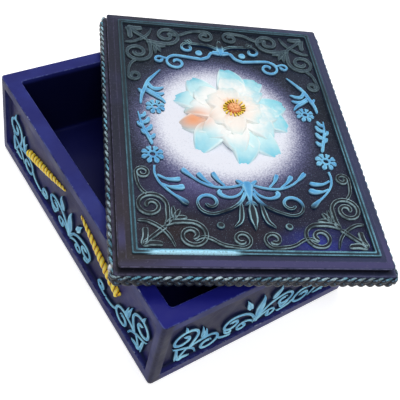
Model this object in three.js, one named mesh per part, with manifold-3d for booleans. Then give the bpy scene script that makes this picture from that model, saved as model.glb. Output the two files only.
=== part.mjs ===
// A lidded keepsake box for a deck of tarot cards, with its lid lifted off and laid askew on the rim.
// Millimetres, +Z up, the long side along Y. The origin is the centre of the underside of the felt.

import * as THREE from 'three';
import { mergeVertices } from 'three/addons/utils/BufferGeometryUtils.js';
import Module from 'manifold-3d';

const wasm = await Module();
wasm.setup();

// Tray
const trayWidth = 108;
const trayLength = 150;
const rimHeight = 47;
const wallThickness = 7;
const floorThickness = 6;
const trayCornerRadius = 1.6;
const trayEdgeBevel = 0.5;
const cavityCornerRadius = 1.6;
const cavityFillet = 1.5;
const feltThickness = 1;
const feltInset = 4;

// Recessed side panels
const panelSideBorder = 4.5;
const panelTopBorder = 4.5;
const ledgeHeight = 6.5;
const recessDepth = 2.5;
const coveSide = 1.2;
const coveTop = 3;
const ledgeSlope = 0.5;

// Lid
const plugHeight = 4.1;
const plugClearance = 1;
const plugBevel = 0.6;
const lidThickness = 5.8;
const lidOverhang = 4.1;
const lidCornerRadius = 2.8;
const braidWidth = 1.6;
const topOverhang = 0.9;
const topCornerRadius = 1.2;
const shadowGroove = 1.1;
const shadowHeight = 2.4;
const topEdgeHeight = 3.2;
const marginWidth = 5.16;
const marginRise = 0.7;
const marginBreak = 3;
const marginBreakRise = 0.5;
const frameWidth = 2.3;
const frameHeight = 1.1;
const ruleWidth = 0.7;
const grooveDepth = 0.6;
const frameCornerRadius = 0.6;
const fieldSink = 0.7;

// How the lid lies on the rim
const restShiftX = 21.4;
const restShiftY = -7;
const restTurn = -26.3;

// Raised ornament
const seatGap = 0.3;
const glueGap = 0.1;
const cutGap = 0.3;
const panelRelief = 1.4;
const lidRelief = 1.3;
const scrollWidth = 1.7;
const panelStroke = 1.4;
const broadWidth = 2;
const barbWidth = 2.4;
const bladeWidth = 4.4;
const crownWidth = 7.5;
const twigWidth = 1.1;
const tipWidth = 0.5;
const budWidth = 3.2;
const rosettePetals = 8;

// Twisted spires
const spireBaseRadius = 1.9;
const spireTipRadius = 0.5;
const spireWaist = 0.76;
const spireTurns = 7;
const spireTwistStep = 45;
const spireSink = 0.4;

// Blossom
const blossomSquaresUp = 8;
const blossomHalfWidth = 29;
const blossomHalfLength = 34;
const petalLevel = 1.3;
const heartRadius = 3.3;
const heartHeight = 2.2;
const stamenRadius = 6;
const stamenHeight = 1.2;
const stamenCount = 9;
const middleReach = 0.76;
const innerReach = 0.5;
const stamenReach = stamenRadius / Math.min(blossomHalfWidth, blossomHalfLength);
const petalWidth = 12.5;
const innerPetalWidth = 10.5;
const petalHeight = 2.7;
const outerHubRadius = 9;
const middleHubRadius = 7;
const innerHubRadius = 2.4;

// The ornament is drawn on squared paper, a square to the millimetre, and each finished drawing is fitted to
// its flat area. The sheets are half the field's width by half its length, and half a panel's length by its
// height. The corners' stems reach towards the panel's middle, and the middle ornament and the spires slide
// along it. A long panel's ornament is flatter, and its middle is also wider.
const squareSize = 1;
const fieldSquares = [47.4, 69.7];
const shortPanel = {
  squares: [48.3, 31.9], slide: 0, flatten: 1, middle: [1, 1], stemReach: 35.6,
};
const longPanel = {
  squares: [69.3, 31.9], slide: -2.5, flatten: 0.94, middle: [1.05, 0.82], stemReach: 36.6,
};
const spireBase = [44.6, 14.6];
const spireTip = [7.4, 25.8];

const degrees = THREE.MathUtils.degToRad;
const circleSteps = 7;
const cornerSteps = 2;
const spiralStep = 45;
const eyeSquares = 1.25;

function paint(color, roughness, metalness = 0) {
  return new THREE.MeshStandardMaterial({ color, roughness, metalness });
}

// Closed surface through loops of equal count. Seen along the loft, each loop runs clockwise.
function loft(loops, closed = false) {
  const count = loops[0].length;
  const positions = loops.flat().flatMap((point) => [point.x, point.y, point.z]);
  const index = [];
  const spans = closed ? loops.length : loops.length - 1;
  for (let i = 0; i < spans; i++) {
    const here = i * count;
    const next = ((i + 1) % loops.length) * count;
    for (let j = 0; j < count; j++) {
      const k = (j + 1) % count;
      index.push(here + j, here + k, next + k, here + j, next + k, next + j);
    }
  }
  if (!closed) {
    const last = (loops.length - 1) * count;
    for (let j = 1; j < count - 1; j++) {
      index.push(0, j + 1, j, last, last + j, last + j + 1);
    }
  }
  const geometry = new THREE.BufferGeometry();
  geometry.setAttribute('position', new THREE.Float32BufferAttribute(positions, 3));
  geometry.setIndex(index);
  return geometry;
}

// Rounded rectangle, anticlockwise from above
function roundedLoop(halfWidth, halfLength, radius, z) {
  const loop = [];
  for (let corner = 0; corner < 4; corner++) {
    const signX = corner === 0 || corner === 3 ? 1 : -1;
    const signY = corner < 2 ? 1 : -1;
    for (let step = 0; step <= cornerSteps; step++) {
      const angle = degrees(90 * (corner + step / cornerSteps));
      const x = signX * (halfWidth - radius) + radius * Math.cos(angle);
      const y = signY * (halfLength - radius) + radius * Math.sin(angle);
      loop.push(new THREE.Vector3(x, y, z));
    }
  }
  return loop;
}

// Loops of one rounded rectangle, drawn in by an inset at each height
function tiers(halfWidth, halfLength, radius, steps) {
  return steps.map(([z, inset]) => {
    const corner = Math.max(radius - inset, 0.3 * radius);
    return roundedLoop(halfWidth - inset, halfLength - inset, corner, z);
  });
}

function circleLoop(radius, z, count = circleSteps) {
  const loop = [];
  for (let i = 0; i < count; i++) {
    const angle = (2 * Math.PI * i) / count;
    loop.push(new THREE.Vector3(radius * Math.cos(angle), radius * Math.sin(angle), z));
  }
  return loop;
}

// Boolean joins and cuts
function toSolid(geometry) {
  const bare = geometry.clone();
  bare.deleteAttribute('normal');
  bare.deleteAttribute('uv');
  const merged = mergeVertices(bare, 1e-4);
  const vertProperties = merged.attributes.position.array;
  const triVerts = Uint32Array.from(merged.index.array);
  return new wasm.Manifold(new wasm.Mesh({ numProp: 3, vertProperties, triVerts }));
}

function toGeometry(solid) {
  const mesh = solid.getMesh();
  const geometry = new THREE.BufferGeometry();
  geometry.setAttribute('position', new THREE.BufferAttribute(mesh.vertProperties, 3));
  geometry.setIndex(new THREE.BufferAttribute(mesh.triVerts, 1));
  return geometry;
}

function join(solids) {
  return solids.reduce((whole, solid) => whole.add(solid));
}

// Raised ridge along a flat line, whose width and height run with t from 0 to 1
const ridgeSection = [[1, 0], [0, 1], [-1, 0]];
const petalSection = [[1, 0], [0.75, 1], [0, 0.85], [-0.75, 1], [-1, 0]];

function ridge(points, widthAt, heightAt, section = ridgeSection) {
  const loops = points.map((point, i) => {
    const before = points[Math.max(i - 1, 0)];
    const after = points[Math.min(i + 1, points.length - 1)];
    const along = after.clone().sub(before).normalize();
    const t = i / (points.length - 1);
    const half = widthAt(t) / 2;
    const height = heightAt(t);
    return section.map(([side, up]) => {
      const x = point.x - along.y * side * half;
      const y = point.y + along.x * side * half;
      return new THREE.Vector3(x, y, up * height);
    });
  });
  return toSolid(loft(loops));
}

function blend(values, t) {
  const [start, middle, end] = values;
  const first = THREE.MathUtils.lerp(start, middle, t);
  const second = THREE.MathUtils.lerp(middle, end, t);
  return THREE.MathUtils.lerp(first, second, t);
}

function polar(centre, radius, angle) {
  const turn = degrees(angle);
  return new THREE.Vector2(centre[0] + radius * Math.cos(turn), centre[1] + radius * Math.sin(turn));
}

// A drawing gathers the raised strokes of one ornament. place puts its points, counted in squares, on the
// sheet, and fit stretches the finished ornament to its flat area.
class Drawing {
  constructor(place, fit, relief) {
    this.place = place;
    this.fit = fit;
    this.relief = relief;
    this.solids = [];
  }

  raise(points, widthAt, fullness = 1) {
    const placed = points.map((point) => this.place(point.x, point.y).multiplyScalar(squareSize));
    const heightAt = (t) => {
      const share = Math.min(widthAt(t) / scrollWidth, 1);
      return this.relief * fullness * (0.5 + 0.5 * share);
    };
    this.solids.push(ridge(placed, widthAt, heightAt));
  }

  stroke(outline, widths, steps = 4) {
    const curve = new THREE.SplineCurve(outline.map(([x, y]) => new THREE.Vector2(x, y)));
    this.raise(curve.getPoints(steps), (t) => blend(widths, t));
  }

  // A lead-in that leaves a point at an angle and runs on into a spiral that ends in an eye
  scroll({ from, leave, centre, radius, start, sweep, width = scrollWidth, leadSteps = 2 }) {
    const meet = polar(centre, radius, start);
    const away = new THREE.Vector2(...from);
    const pull = 0.4 * away.distanceTo(meet);
    const reach = polar(from, pull, leave);
    const arrive = polar([meet.x, meet.y], pull, start - 90 * Math.sign(sweep));
    const points = new THREE.CubicBezierCurve(away, reach, arrive, meet).getPoints(leadSteps);
    const steps = Math.ceil(Math.abs(sweep) / spiralStep);
    for (let i = 1; i <= steps; i++) {
      const t = i / steps;
      points.push(polar(centre, THREE.MathUtils.lerp(radius, eyeSquares, t), start + sweep * t));
    }
    this.raise(points, (t) => blend([width, twigWidth, scrollWidth], t));
  }

  leaf(base, angle, length, squaresWide, fullness = 1.1) {
    const points = [];
    for (let i = 0; i <= 3; i++) {
      points.push(polar(base, (length * i) / 3, angle));
    }
    const swell = squaresWide * squareSize - tipWidth;
    this.raise(points, (t) => tipWidth + swell * Math.sin(Math.PI * t ** 0.8), fullness);
  }

  // A twig that swells into a drop at its far end
  drop(outline, squaresWide) {
    const curve = new THREE.SplineCurve(outline.map(([x, y]) => new THREE.Vector2(x, y)));
    const bulb = squaresWide * squareSize;
    const widths = [twigWidth, twigWidth, twigWidth, bulb * 0.8, bulb, bulb * 0.4];
    const steps = widths.length - 1;
    this.raise(curve.getPoints(steps), (t) => widths[Math.round(t * steps)]);
  }

  bead(centre, squares, fullness = 1) {
    const top = this.relief * fullness;
    const dome = [[1, 0], [0.8, 0.7], [0.35, 1]];
    const loops = dome.map(([out, up]) => circleLoop(squares * squareSize * out, top * up));
    const spot = this.place(...centre).multiplyScalar(squareSize);
    this.solids.push(toSolid(loft(loops)).translate([spot.x, spot.y, 0]));
  }

  geometry() {
    return toGeometry(join(this.solids)).scale(this.fit.x, this.fit.y, 1);
  }
}

// Sizes that follow from the driving ones
const halfWidth = trayWidth / 2;
const halfLength = trayLength / 2;
const cavityHalfWidth = halfWidth - wallThickness;
const cavityHalfLength = halfLength - wallThickness;
const cavityFloor = feltThickness + floorThickness;
const panelTop = rimHeight - panelTopBorder;
const panelFloorBottom = ledgeHeight + ledgeSlope;
const panelFloorTop = panelTop - coveTop;

const plugBottom = rimHeight + seatGap;
const boardBottom = plugBottom + plugHeight;
const boardTop = boardBottom + lidThickness;
const topBottom = boardTop + glueGap;
const topShoulder = topBottom + topEdgeHeight;
const frameSeat = topShoulder + marginRise;
const fieldHeight = frameSeat - fieldSink;
const reliefSeat = fieldHeight + glueGap;
const boardInset = braidWidth + glueGap;
const topHalfWidth = halfWidth + topOverhang;
const topHalfLength = halfLength + topOverhang;
const frameInset = marginWidth + frameWidth;
const fieldHalf = new THREE.Vector2(topHalfWidth - frameInset, topHalfLength - frameInset);

const box = new THREE.Group();
const tray = new THREE.Group();
const lid = new THREE.Group();
lid.position.set(restShiftX, restShiftY, 0);
lid.rotation.z = degrees(restTurn);
box.add(tray, lid);

function addMesh(parent, name, geometry, material) {
  const mesh = new THREE.Mesh(geometry, material);
  mesh.name = name;
  parent.add(mesh);
  return mesh;
}

const navyResin = paint(0x3a3d6b, 0.4);
const plumResin = paint(0x46405a, 0.4);
const blackFelt = paint(0x17171c, 1);
const skyBlue = paint(0x69b2dc, 0.5);
const slateBlue = paint(0x3f5a66, 0.5);
const gold = paint(0xe0ad2c, 0.35, 0.5);
const white = paint(0xeef4f4, 0.45);
const cyan = paint(0x6cc6dc, 0.45);
const peach = paint(0xe08a4e, 0.5);

// The recess of one side panel, to be cut from a wall whose outer face lies on the plane z = 0. Its x runs
// along the wall and y up, and the inside of the wall is towards -z.
function recessCutter(halfPanel) {
  const loops = [];
  const steps = 3;
  for (let i = -1; i <= steps; i++) {
    const t = Math.max(i, 0) / steps;
    const inset = 1 - Math.cos((t * Math.PI) / 2);
    const depth = i < 0 ? -trayEdgeBevel : recessDepth * Math.sin((t * Math.PI) / 2);
    const side = halfPanel - panelSideBorder - coveSide * inset;
    const top = panelTop - coveTop * inset;
    const bottom = ledgeHeight + ledgeSlope * inset;
    const corners = [[-side, bottom], [side, bottom], [side, top], [-side, top]];
    loops.unshift(corners.map(([x, y]) => new THREE.Vector3(x, y, -depth)));
  }
  return loft(loops);
}

// The four walls: how far out each face is, half its length, its facing, and its ends from left to right
const walls = [
  { name: 'front', kind: shortPanel, out: halfLength, half: halfWidth, facing: 0, ends: ['left', 'right'] },
  { name: 'right', kind: longPanel, out: halfWidth, half: halfLength, facing: 90, ends: ['front', 'back'] },
  { name: 'back', kind: shortPanel, out: halfLength, half: halfWidth, facing: 180, ends: ['right', 'left'] },
  { name: 'left', kind: longPanel, out: halfWidth, half: halfLength, facing: 270, ends: ['back', 'front'] },
];

// Stands a drawing up against a wall: x runs to the right as seen from outside, y runs up, z points outwards
function wallMatrix(wall, depth) {
  const turn = new THREE.Matrix4().makeRotationZ(degrees(wall.facing));
  const out = new THREE.Matrix4().makeTranslation(0, -(wall.out - depth), 0);
  const stand = new THREE.Matrix4().makeRotationX(Math.PI / 2);
  return turn.multiply(out).multiply(stand);
}

function makeTray() {
  const outer = tiers(halfWidth, halfLength, trayCornerRadius, [
    [feltThickness, trayEdgeBevel],
    [feltThickness + trayEdgeBevel, 0],
    [rimHeight - trayEdgeBevel, 0],
    [rimHeight, trayEdgeBevel],
  ]);
  const cavity = tiers(cavityHalfWidth, cavityHalfLength, cavityCornerRadius, [
    [cavityFloor, cavityFillet],
    [cavityFloor + cavityFillet, 0],
    [rimHeight - trayEdgeBevel, 0],
    [rimHeight + trayEdgeBevel, -2 * trayEdgeBevel],
  ]);
  let body = toSolid(loft(outer)).subtract(toSolid(loft(cavity)));
  for (const wall of walls) {
    const cutter = recessCutter(wall.half).applyMatrix4(wallMatrix(wall, 0));
    body = body.subtract(toSolid(cutter));
  }
  addMesh(tray, 'tray', toGeometry(body), navyResin);

  const felt = tiers(halfWidth - feltInset, halfLength - feltInset, trayCornerRadius, [
    [0, 0],
    [feltThickness - glueGap, 0],
  ]);
  addMesh(tray, 'base_felt', loft(felt), blackFelt);
}

// How a panel's sheet is stretched to the floor of its recess, and where it then lies on the wall
function panelFit(wall) {
  const floorHalf = wall.half - panelSideBorder - coveSide;
  const [across, up] = wall.kind.squares;
  const fitX = floorHalf / (across * squareSize);
  const fitY = (panelFloorTop - panelFloorBottom) / (up * squareSize);
  return new THREE.Vector2(fitX, fitY);
}

function panelMatrix(wall) {
  const lift = new THREE.Matrix4().makeTranslation(0, panelFloorBottom, 0);
  return wallMatrix(wall, recessDepth - glueGap).multiply(lift);
}

// Corner scroll of a panel, drawn with x from the panel's end towards its middle
function drawPanelCorner(drawing) {
  const crossbar = [[3.8, 13.2], [6.3, 11.8], [10.3, 10], [13.8, 7.4], [15.8, 4], [16.8, 0.9]];
  drawing.stroke(crossbar, [tipWidth, broadWidth, tipWidth], 6);
  drawing.stroke([[5.6, 11.6], [6.2, 6], [7.2, 1.4]], [twigWidth, broadWidth, barbWidth], 3);
  drawing.stroke([[7, 1.5], [10, 3], [13.8, 1.3]], [barbWidth, barbWidth, tipWidth], 3);
  drawing.stroke([[7.2, 2], [9.2, 6], [11.2, 9.6]], [twigWidth, twigWidth, twigWidth], 2);
  drawing.scroll({
    from: [12.2, 9], leave: 72, centre: [8, 18.8], radius: 7, start: -10, sweep: 470, width: panelStroke,
  });
  drawing.scroll({
    from: [12, 9.2], leave: 30, centre: [22, 5.6], radius: 6.2, start: 100, sweep: -450, width: panelStroke,
    leadSteps: 3,
  });
  drawing.leaf([8.2, 24], 96, 3.8, scrollWidth);
  for (const [angle, length] of [[98, 10.2], [82, 7], [45, 3.4]]) {
    drawing.leaf([18.4, 11.2], angle, length, broadWidth);
  }
}

// Stem that runs from the second spiral towards the middle of the panel. On a long panel it curls back.
function drawPanelStem(drawing, reach, curled) {
  const stem = [[27.2, 5.6], [29.4, 3.2], [33.2, 1.8], [reach, 1.5]];
  drawing.stroke(stem, [twigWidth, panelStroke, twigWidth], 5);
  if (curled) {
    drawing.scroll({
      from: [reach, 1.5], leave: -3, centre: [reach + 4, 4.9], radius: 3, start: -90, sweep: 400,
      width: twigWidth,
    });
  }
}

function drawPanelCentre(drawing) {
  drawing.stroke([[0, 1], [0, 9]], [2 * panelStroke, barbWidth, barbWidth], 2);
  drawing.leaf([0, 6.5], 90, 16.2, bladeWidth);
  for (const side of [1, -1]) {
    const turn = (angle) => (side > 0 ? angle : 180 - angle);
    drawing.scroll({
      from: [side * 0.8, 5], leave: turn(68), centre: [side * 14.3, 10.8], radius: 5.2,
      start: turn(95), sweep: side * -430, width: panelStroke, leadSteps: 4,
    });
    drawing.scroll({
      from: [side * 0.8, 2.8], leave: turn(50), centre: [side * 7.8, 4.1], radius: 2.8,
      start: turn(70), sweep: side * -330, width: twigWidth,
    });
    const hook = [[side * 17.8, 7.8], [side * 16.8, 5.2], [side * 14.8, 4.3], [side * 13.6, 5.4]];
    drawing.stroke(hook, [twigWidth, twigWidth, scrollWidth]);
  }
}

// Panel sheets have x from the middle of the panel's floor and y up from its lower edge
function makePanelScrolls() {
  for (const wall of walls) {
    const matrix = panelMatrix(wall);
    const fit = panelFit(wall);
    const { squares, slide, flatten, middle, stemReach } = wall.kind;
    const [middleAcross, middleUp] = middle;
    const add = (name, drawing) => {
      addMesh(tray, `${wall.name}_panel_${name}`, drawing.geometry().applyMatrix4(matrix), skyBlue);
    };
    const inMiddle = (x, y) => new THREE.Vector2(slide + x * middleAcross, y * middleUp);
    wall.ends.forEach((end, i) => {
      const side = i === 0 ? -1 : 1;
      const inCorner = (x, y) => new THREE.Vector2(side * (squares[0] - x), y * flatten);
      const corner = new Drawing(inCorner, fit, panelRelief);
      drawPanelCorner(corner);
      drawPanelStem(corner, stemReach, wall.kind === longPanel);
      add(`${end}_scroll`, corner);
      const bud = new Drawing((x, y) => inMiddle(side * x, y), fit, panelRelief);
      bud.leaf([5.9, 16.4], 67, 8.6, budWidth);
      add(`${end}_bud`, bud);
    });
    const centre = new Drawing(inMiddle, fit, panelRelief);
    drawPanelCentre(centre);
    add('centre_scroll', centre);
  }
}

// A flattened bar twisted into a cord, thick at its base, with its back cut flat against the panel
function twistedBar(length) {
  const rings = Math.round((360 * spireTurns) / spireTwistStep);
  const loops = [];
  for (let k = 0; k <= rings; k++) {
    const t = k / rings;
    const radius = THREE.MathUtils.lerp(spireBaseRadius, spireTipRadius, t ** 2);
    const loop = [];
    for (let corner = 0; corner < 4; corner++) {
      const angle = degrees(90 * corner + spireTwistStep * k);
      const reach = radius * (corner % 2 === 0 ? 1 : spireWaist);
      const up = radius * spireSink + reach * Math.sin(angle);
      loop.push(new THREE.Vector3(t * length, reach * Math.cos(angle), up));
    }
    loops.push(loop);
  }
  const behind = new THREE.BoxGeometry(2 * length, 4 * spireBaseRadius, 2 * spireBaseRadius);
  behind.translate(0.5 * length, 0, -spireBaseRadius);
  return toGeometry(toSolid(loft(loops)).subtract(toSolid(behind)));
}

function makeSpires() {
  for (const wall of walls.filter((each) => each.kind === longPanel)) {
    const fit = panelFit(wall);
    wall.ends.forEach((end, i) => {
      const side = i === 0 ? -1 : 1;
      const onSheet = ([x, y]) => new THREE.Vector2(wall.kind.slide + side * x, y).multiplyScalar(squareSize);
      const base = onSheet(spireBase).multiply(fit);
      const axis = onSheet(spireTip).multiply(fit).sub(base);
      const lay = new THREE.Matrix4().makeRotationZ(Math.atan2(axis.y, axis.x));
      lay.setPosition(base.x, base.y, 0);
      const spire = twistedBar(axis.length()).applyMatrix4(lay).applyMatrix4(panelMatrix(wall));
      addMesh(tray, `${wall.name}_${end}_spire`, spire, gold);
    });
  }
}

function makeLidBody() {
  const plugHalfWidth = cavityHalfWidth - plugClearance;
  const plugHalfLength = cavityHalfLength - plugClearance;
  const plug = tiers(plugHalfWidth, plugHalfLength, cavityCornerRadius, [
    [plugBottom, plugBevel],
    [plugBottom + plugBevel, 0],
    [boardBottom, 0],
  ]);
  const boardHalfWidth = halfWidth + lidOverhang - boardInset;
  const boardHalfLength = halfLength + lidOverhang - boardInset;
  const board = tiers(boardHalfWidth, boardHalfLength, lidCornerRadius - braidWidth, [
    [boardBottom, 0],
    [boardTop, 0],
  ]);
  addMesh(lid, 'lid_board', loft([...plug, ...board]), plumResin);

  const braidProfile = [[0, 0], [0.55, 0.1], [0.55, 0.9], [0, 1]].map(([out, up]) => {
    const bulge = glueGap + (braidWidth - glueGap) * (0.45 + out);
    return [boardBottom + up * lidThickness, boardInset - bulge];
  });
  const braidInside = [[boardTop, braidWidth], [boardBottom, braidWidth]];
  const braid = tiers(halfWidth + lidOverhang, halfLength + lidOverhang, lidCornerRadius, [
    ...braidProfile, ...braidInside,
  ]);
  addMesh(lid, 'lid_braid_edging', loft(braid, true), slateBlue);

  const panel = tiers(topHalfWidth, topHalfLength, topCornerRadius, [
    [topBottom, shadowGroove],
    [topBottom + shadowHeight, shadowGroove],
    [topBottom + shadowHeight, 0],
    [topShoulder, 0],
    [topShoulder + marginBreakRise, marginBreak],
    [frameSeat, marginWidth],
    [frameSeat, frameInset],
    [fieldHeight, frameInset],
  ]);
  addMesh(lid, 'lid_top_panel', loft(panel), plumResin);
}

function makeLidFrame() {
  const foot = frameSeat + glueGap;
  const top = foot + frameHeight;
  const groove = top - grooveDepth;
  const slope = ruleWidth * 0.25;
  const steps = [
    [foot, 0],
    [top, slope],
    [top, ruleWidth - slope],
    [groove, ruleWidth],
    [groove, frameWidth - ruleWidth],
    [top, frameWidth - ruleWidth + slope],
    [top, frameWidth - slope],
    [foot, frameWidth],
  ];
  const outerHalfWidth = topHalfWidth - marginWidth;
  const outerHalfLength = topHalfLength - marginWidth;
  const loops = steps.map(([z, inset]) => {
    return roundedLoop(outerHalfWidth - inset, outerHalfLength - inset, frameCornerRadius, z);
  });
  addMesh(lid, 'lid_frame', loft(loops, true), slateBlue);
}

// The lid's sheet has its centre at 0, 0
const fieldFit = new THREE.Vector2(
  fieldHalf.x / (fieldSquares[0] * squareSize),
  fieldHalf.y / (fieldSquares[1] * squareSize),
);

function fieldDrawing(side = 1) {
  return new Drawing((x, y) => new THREE.Vector2(side * x, y), fieldFit, lidRelief);
}

function addToField(name, geometry, material) {
  addMesh(lid, name, geometry, material).position.z = reliefSeat;
}

// Corner scroll of the lid, drawn with x and y in from the field's corner
function drawLidCorner(drawing) {
  const crossing = [[0.6, 14.2], [4.5, 13.8], [9.2, 10.8], [12.6, 6.6], [14.4, 1.8]];
  drawing.stroke(crossing, [tipWidth, broadWidth, tipWidth], 6);
  drawing.stroke([[2.2, 2.6], [6.4, 6.6], [11.6, 11.4]], [scrollWidth, twigWidth, scrollWidth], 2);
  drawing.stroke([[2, 2.2], [3.2, 6], [3.4, 10.6]], [scrollWidth, barbWidth, broadWidth], 3);
  drawing.stroke([[2, 2.2], [6, 3.1], [9.8, 2.7]], [scrollWidth, barbWidth, scrollWidth], 3);
  drawing.scroll({
    from: [11.6, 11.6], leave: 65, centre: [6.2, 21.7], radius: 6.7, start: -5, sweep: 560,
  });
  drawing.scroll({
    from: [11.2, 12.2], leave: 25, centre: [21.4, 7.2], radius: 6.5, start: 85, sweep: -520,
  });
  drawing.scroll({
    from: [5.4, 27.4], leave: 140, centre: [4, 39.2], radius: 2.9, start: 185, sweep: -420,
    width: twigWidth,
  });
  const lead = [[22.4, 4.9], [25.4, 6.3], [28.2, 5.9], [30.8, 4.3]];
  drawing.stroke(lead, [twigWidth, twigWidth, twigWidth]);
  drawing.scroll({
    from: [30.4, 4.6], leave: -40, centre: [40.9, 5.6], radius: 4.2, start: -100, sweep: 430,
    width: twigWidth,
  });
  drawing.stroke([[12.2, 13], [14.8, 15.6]], [scrollWidth, twigWidth, twigWidth], 1);
  drawing.leaf([15, 15.2], 90, 6.4, scrollWidth);
  drawing.leaf([15, 15.2], 60, 5.4, broadWidth);
  drawing.leaf([15, 15.2], 8, 5.4, broadWidth);
}

function makeLidCorners() {
  for (const [endName, sideY] of [['front', -1], ['back', 1]]) {
    for (const [sideName, sideX] of [['left', -1], ['right', 1]]) {
      const [across, along] = fieldSquares;
      const place = (x, y) => new THREE.Vector2(sideX * (across - x), sideY * (along - y));
      const drawing = new Drawing(place, fieldFit, lidRelief);
      drawLidCorner(drawing);
      addToField(`lid_${endName}_${sideName}_scroll`, drawing.geometry(), slateBlue);
    }
  }
}

function makeFrontOrnament() {
  const drawing = fieldDrawing();
  drawing.stroke([[0, -33.2], [0, -38], [0, -42.5]], [crownWidth, bladeWidth, barbWidth], 3);
  drawing.stroke([[0, -41], [0, -46.8]], [barbWidth, scrollWidth, scrollWidth], 1);
  drawing.leaf([0, -45.8], -90, 13.6, bladeWidth);
  for (const side of [1, -1]) {
    const turn = (angle) => (side > 0 ? angle : 180 - angle);
    const mirror = (outline) => outline.map(([x, y]) => [side * x, y]);
    drawing.leaf([side * 1.2, -36], turn(42), 4.6, broadWidth);
    drawing.leaf([0, -45], turn(-35), 3.2, scrollWidth);
    drawing.scroll({
      from: [side * 1.6, -39.6], leave: turn(-75), centre: [side * 17.3, -45.9], radius: 6,
      start: turn(-108), sweep: side * 460, leadSteps: 4,
    });
    const arm = [[1.5, -35.4], [8, -37.2], [14, -37.2], [19, -35.2], [23, -32], [27, -27.6]];
    drawing.drop(mirror(arm), 2.6);
    drawing.drop(mirror([[14.5, -36.6], [18, -33.4], [20.5, -29.6]]), 2.6);
    drawing.drop(mirror([[9.5, -36.6], [12.4, -33], [14.1, -29]]), barbWidth);
    const curl = [[2, -37.6], [4, -40.8], [7.4, -42.6], [10.8, -42.2], [12.6, -40.4], [11.6, -38.9]];
    drawing.drop(mirror(curl), barbWidth);
    const acanthus = mirror([[4.2, -45.6], [4.8, -51.4], [5.8, -55.4], [8.6, -58.2]]);
    drawing.stroke(acanthus, [twigWidth, bladeWidth, tipWidth]);
  }
  addToField('lid_front_centre_scroll', drawing.geometry(), skyBlue);
}

function makeBackOrnament() {
  const drawing = fieldDrawing();
  drawing.leaf([0, 50], 90, 11.2, bladeWidth, 1.2);
  for (const side of [1, -1]) {
    const turn = (angle) => (side > 0 ? angle : 180 - angle);
    const mirror = (outline) => outline.map(([x, y]) => [side * x, y]);
    drawing.stroke(mirror([[0, 51.2], [4.6, 51.6]]), [bladeWidth, barbWidth, broadWidth], 1);
    drawing.scroll({
      from: [side * 1.4, 54.2], leave: turn(40), centre: [side * 16.4, 54], radius: 3.4,
      start: turn(95), sweep: side * -340, leadSteps: 4,
    });
    drawing.leaf([side * 14.2, 57], turn(75), 4.4, broadWidth);
    drawing.leaf([side * 14.2, 57], turn(40), 4.4, broadWidth);
    const arm = mirror([[4, 51.6], [5.4, 50.2], [7, 47.4], [10.6, 45.6]]);
    drawing.stroke(arm, [scrollWidth, scrollWidth, scrollWidth]);
    drawing.scroll({
      from: [side * 10.2, 45.7], leave: turn(5), centre: [side * 22.9, 41.9], radius: 5.4,
      start: turn(95), sweep: side * -430, leadSteps: 3,
    });
    drawing.scroll({
      from: [side * 26.6, 44.2], leave: turn(30), centre: [side * 31, 43.6], radius: 2.2,
      start: turn(120), sweep: side * -330, width: twigWidth,
    });
  }
  addToField('lid_back_centre_scroll', drawing.geometry(), skyBlue);
}

function makeBeads() {
  const spots = [['front', 14.1, -57.4, 1.8], ['back', 10.9, 50.8, 1.9]];
  for (const [endName, x, y, radius] of spots) {
    for (const [sideName, side] of [['left', -1], ['right', 1]]) {
      const drawing = fieldDrawing(side);
      drawing.bead([x, y], radius);
      addToField(`lid_${endName}_${sideName}_bead`, drawing.geometry(), skyBlue);
    }
  }
}

// Wreath on each side of the lid, drawn on the right-hand side
function drawLowerSpray(drawing) {
  const stem = [[38.2, -26], [38.4, -30.6], [36.8, -35.6], [33.2, -40.2], [29.4, -43.8], [26, -47.2]];
  drawing.drop(stem, 2.8);
  drawing.drop([[37.6, -31.4], [34, -33.6], [30.6, -34], [27.8, -33.4]], barbWidth);
  drawing.drop([[36.2, -36.4], [32.6, -38], [29.4, -38.3], [26.6, -37.4]], 3);
}

function drawLeafChain(drawing) {
  const stem = [[38.2, -14], [39.6, -9.4], [41.2, -4.6], [42.4, 0.4], [43.2, 6.2]];
  drawing.stroke(stem, [scrollWidth, broadWidth, tipWidth], 5);
  drawing.leaf([39.4, -9.6], 150, 3.2, broadWidth);
  drawing.leaf([40.2, -7.5], 60, 3.4, scrollWidth);
  drawing.leaf([41, -5], 155, 4.2, 2.8);
  drawing.leaf([41.6, -3], 50, 3.2, scrollWidth);
  drawing.leaf([42, -0.6], 160, 4.4, 2.8);
  drawing.leaf([42.6, 3], 168, 3.4, barbWidth);
}

function drawUpperSpray(drawing) {
  const stem = [[31, 36], [34.6, 31], [37.6, 26.6], [39.4, 21.4], [41, 16.6], [41.6, 11.6]];
  drawing.stroke(stem, [tipWidth, bladeWidth, twigWidth], 6);
  const blades = [
    [[38, 26.4], [36, 22.4], [33.2, 21.8], [30.4, 23.4]],
    [[38.8, 21.8], [35.6, 18.8], [32.6, 18.2], [30.4, 19.4]],
    [[38.8, 20.2], [35, 17.4], [32.2, 15.2], [30.4, 12.8]],
  ];
  for (const blade of blades) {
    drawing.stroke(blade, [twigWidth, bladeWidth, tipWidth]);
  }
  drawing.leaf([40.4, 18], 60, 4, scrollWidth);
}

// Eight round petals about a hole
function rosette(radius, holeRadius, petals, height) {
  const outline = [];
  const points = petals * 3;
  for (let i = 0; i < points; i++) {
    const reach = i % 3 === 0 ? radius * 0.62 : radius;
    outline.push(polar([0, 0], reach, (360 * i) / points));
  }
  const shape = new THREE.Shape(outline);
  const hole = [];
  for (let i = 0; i < circleSteps; i++) {
    hole.push(polar([0, 0], holeRadius, (-360 * i) / circleSteps));
  }
  shape.holes.push(new THREE.Path(hole));
  return new THREE.ExtrudeGeometry(shape, { depth: height, bevelEnabled: false });
}

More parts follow.
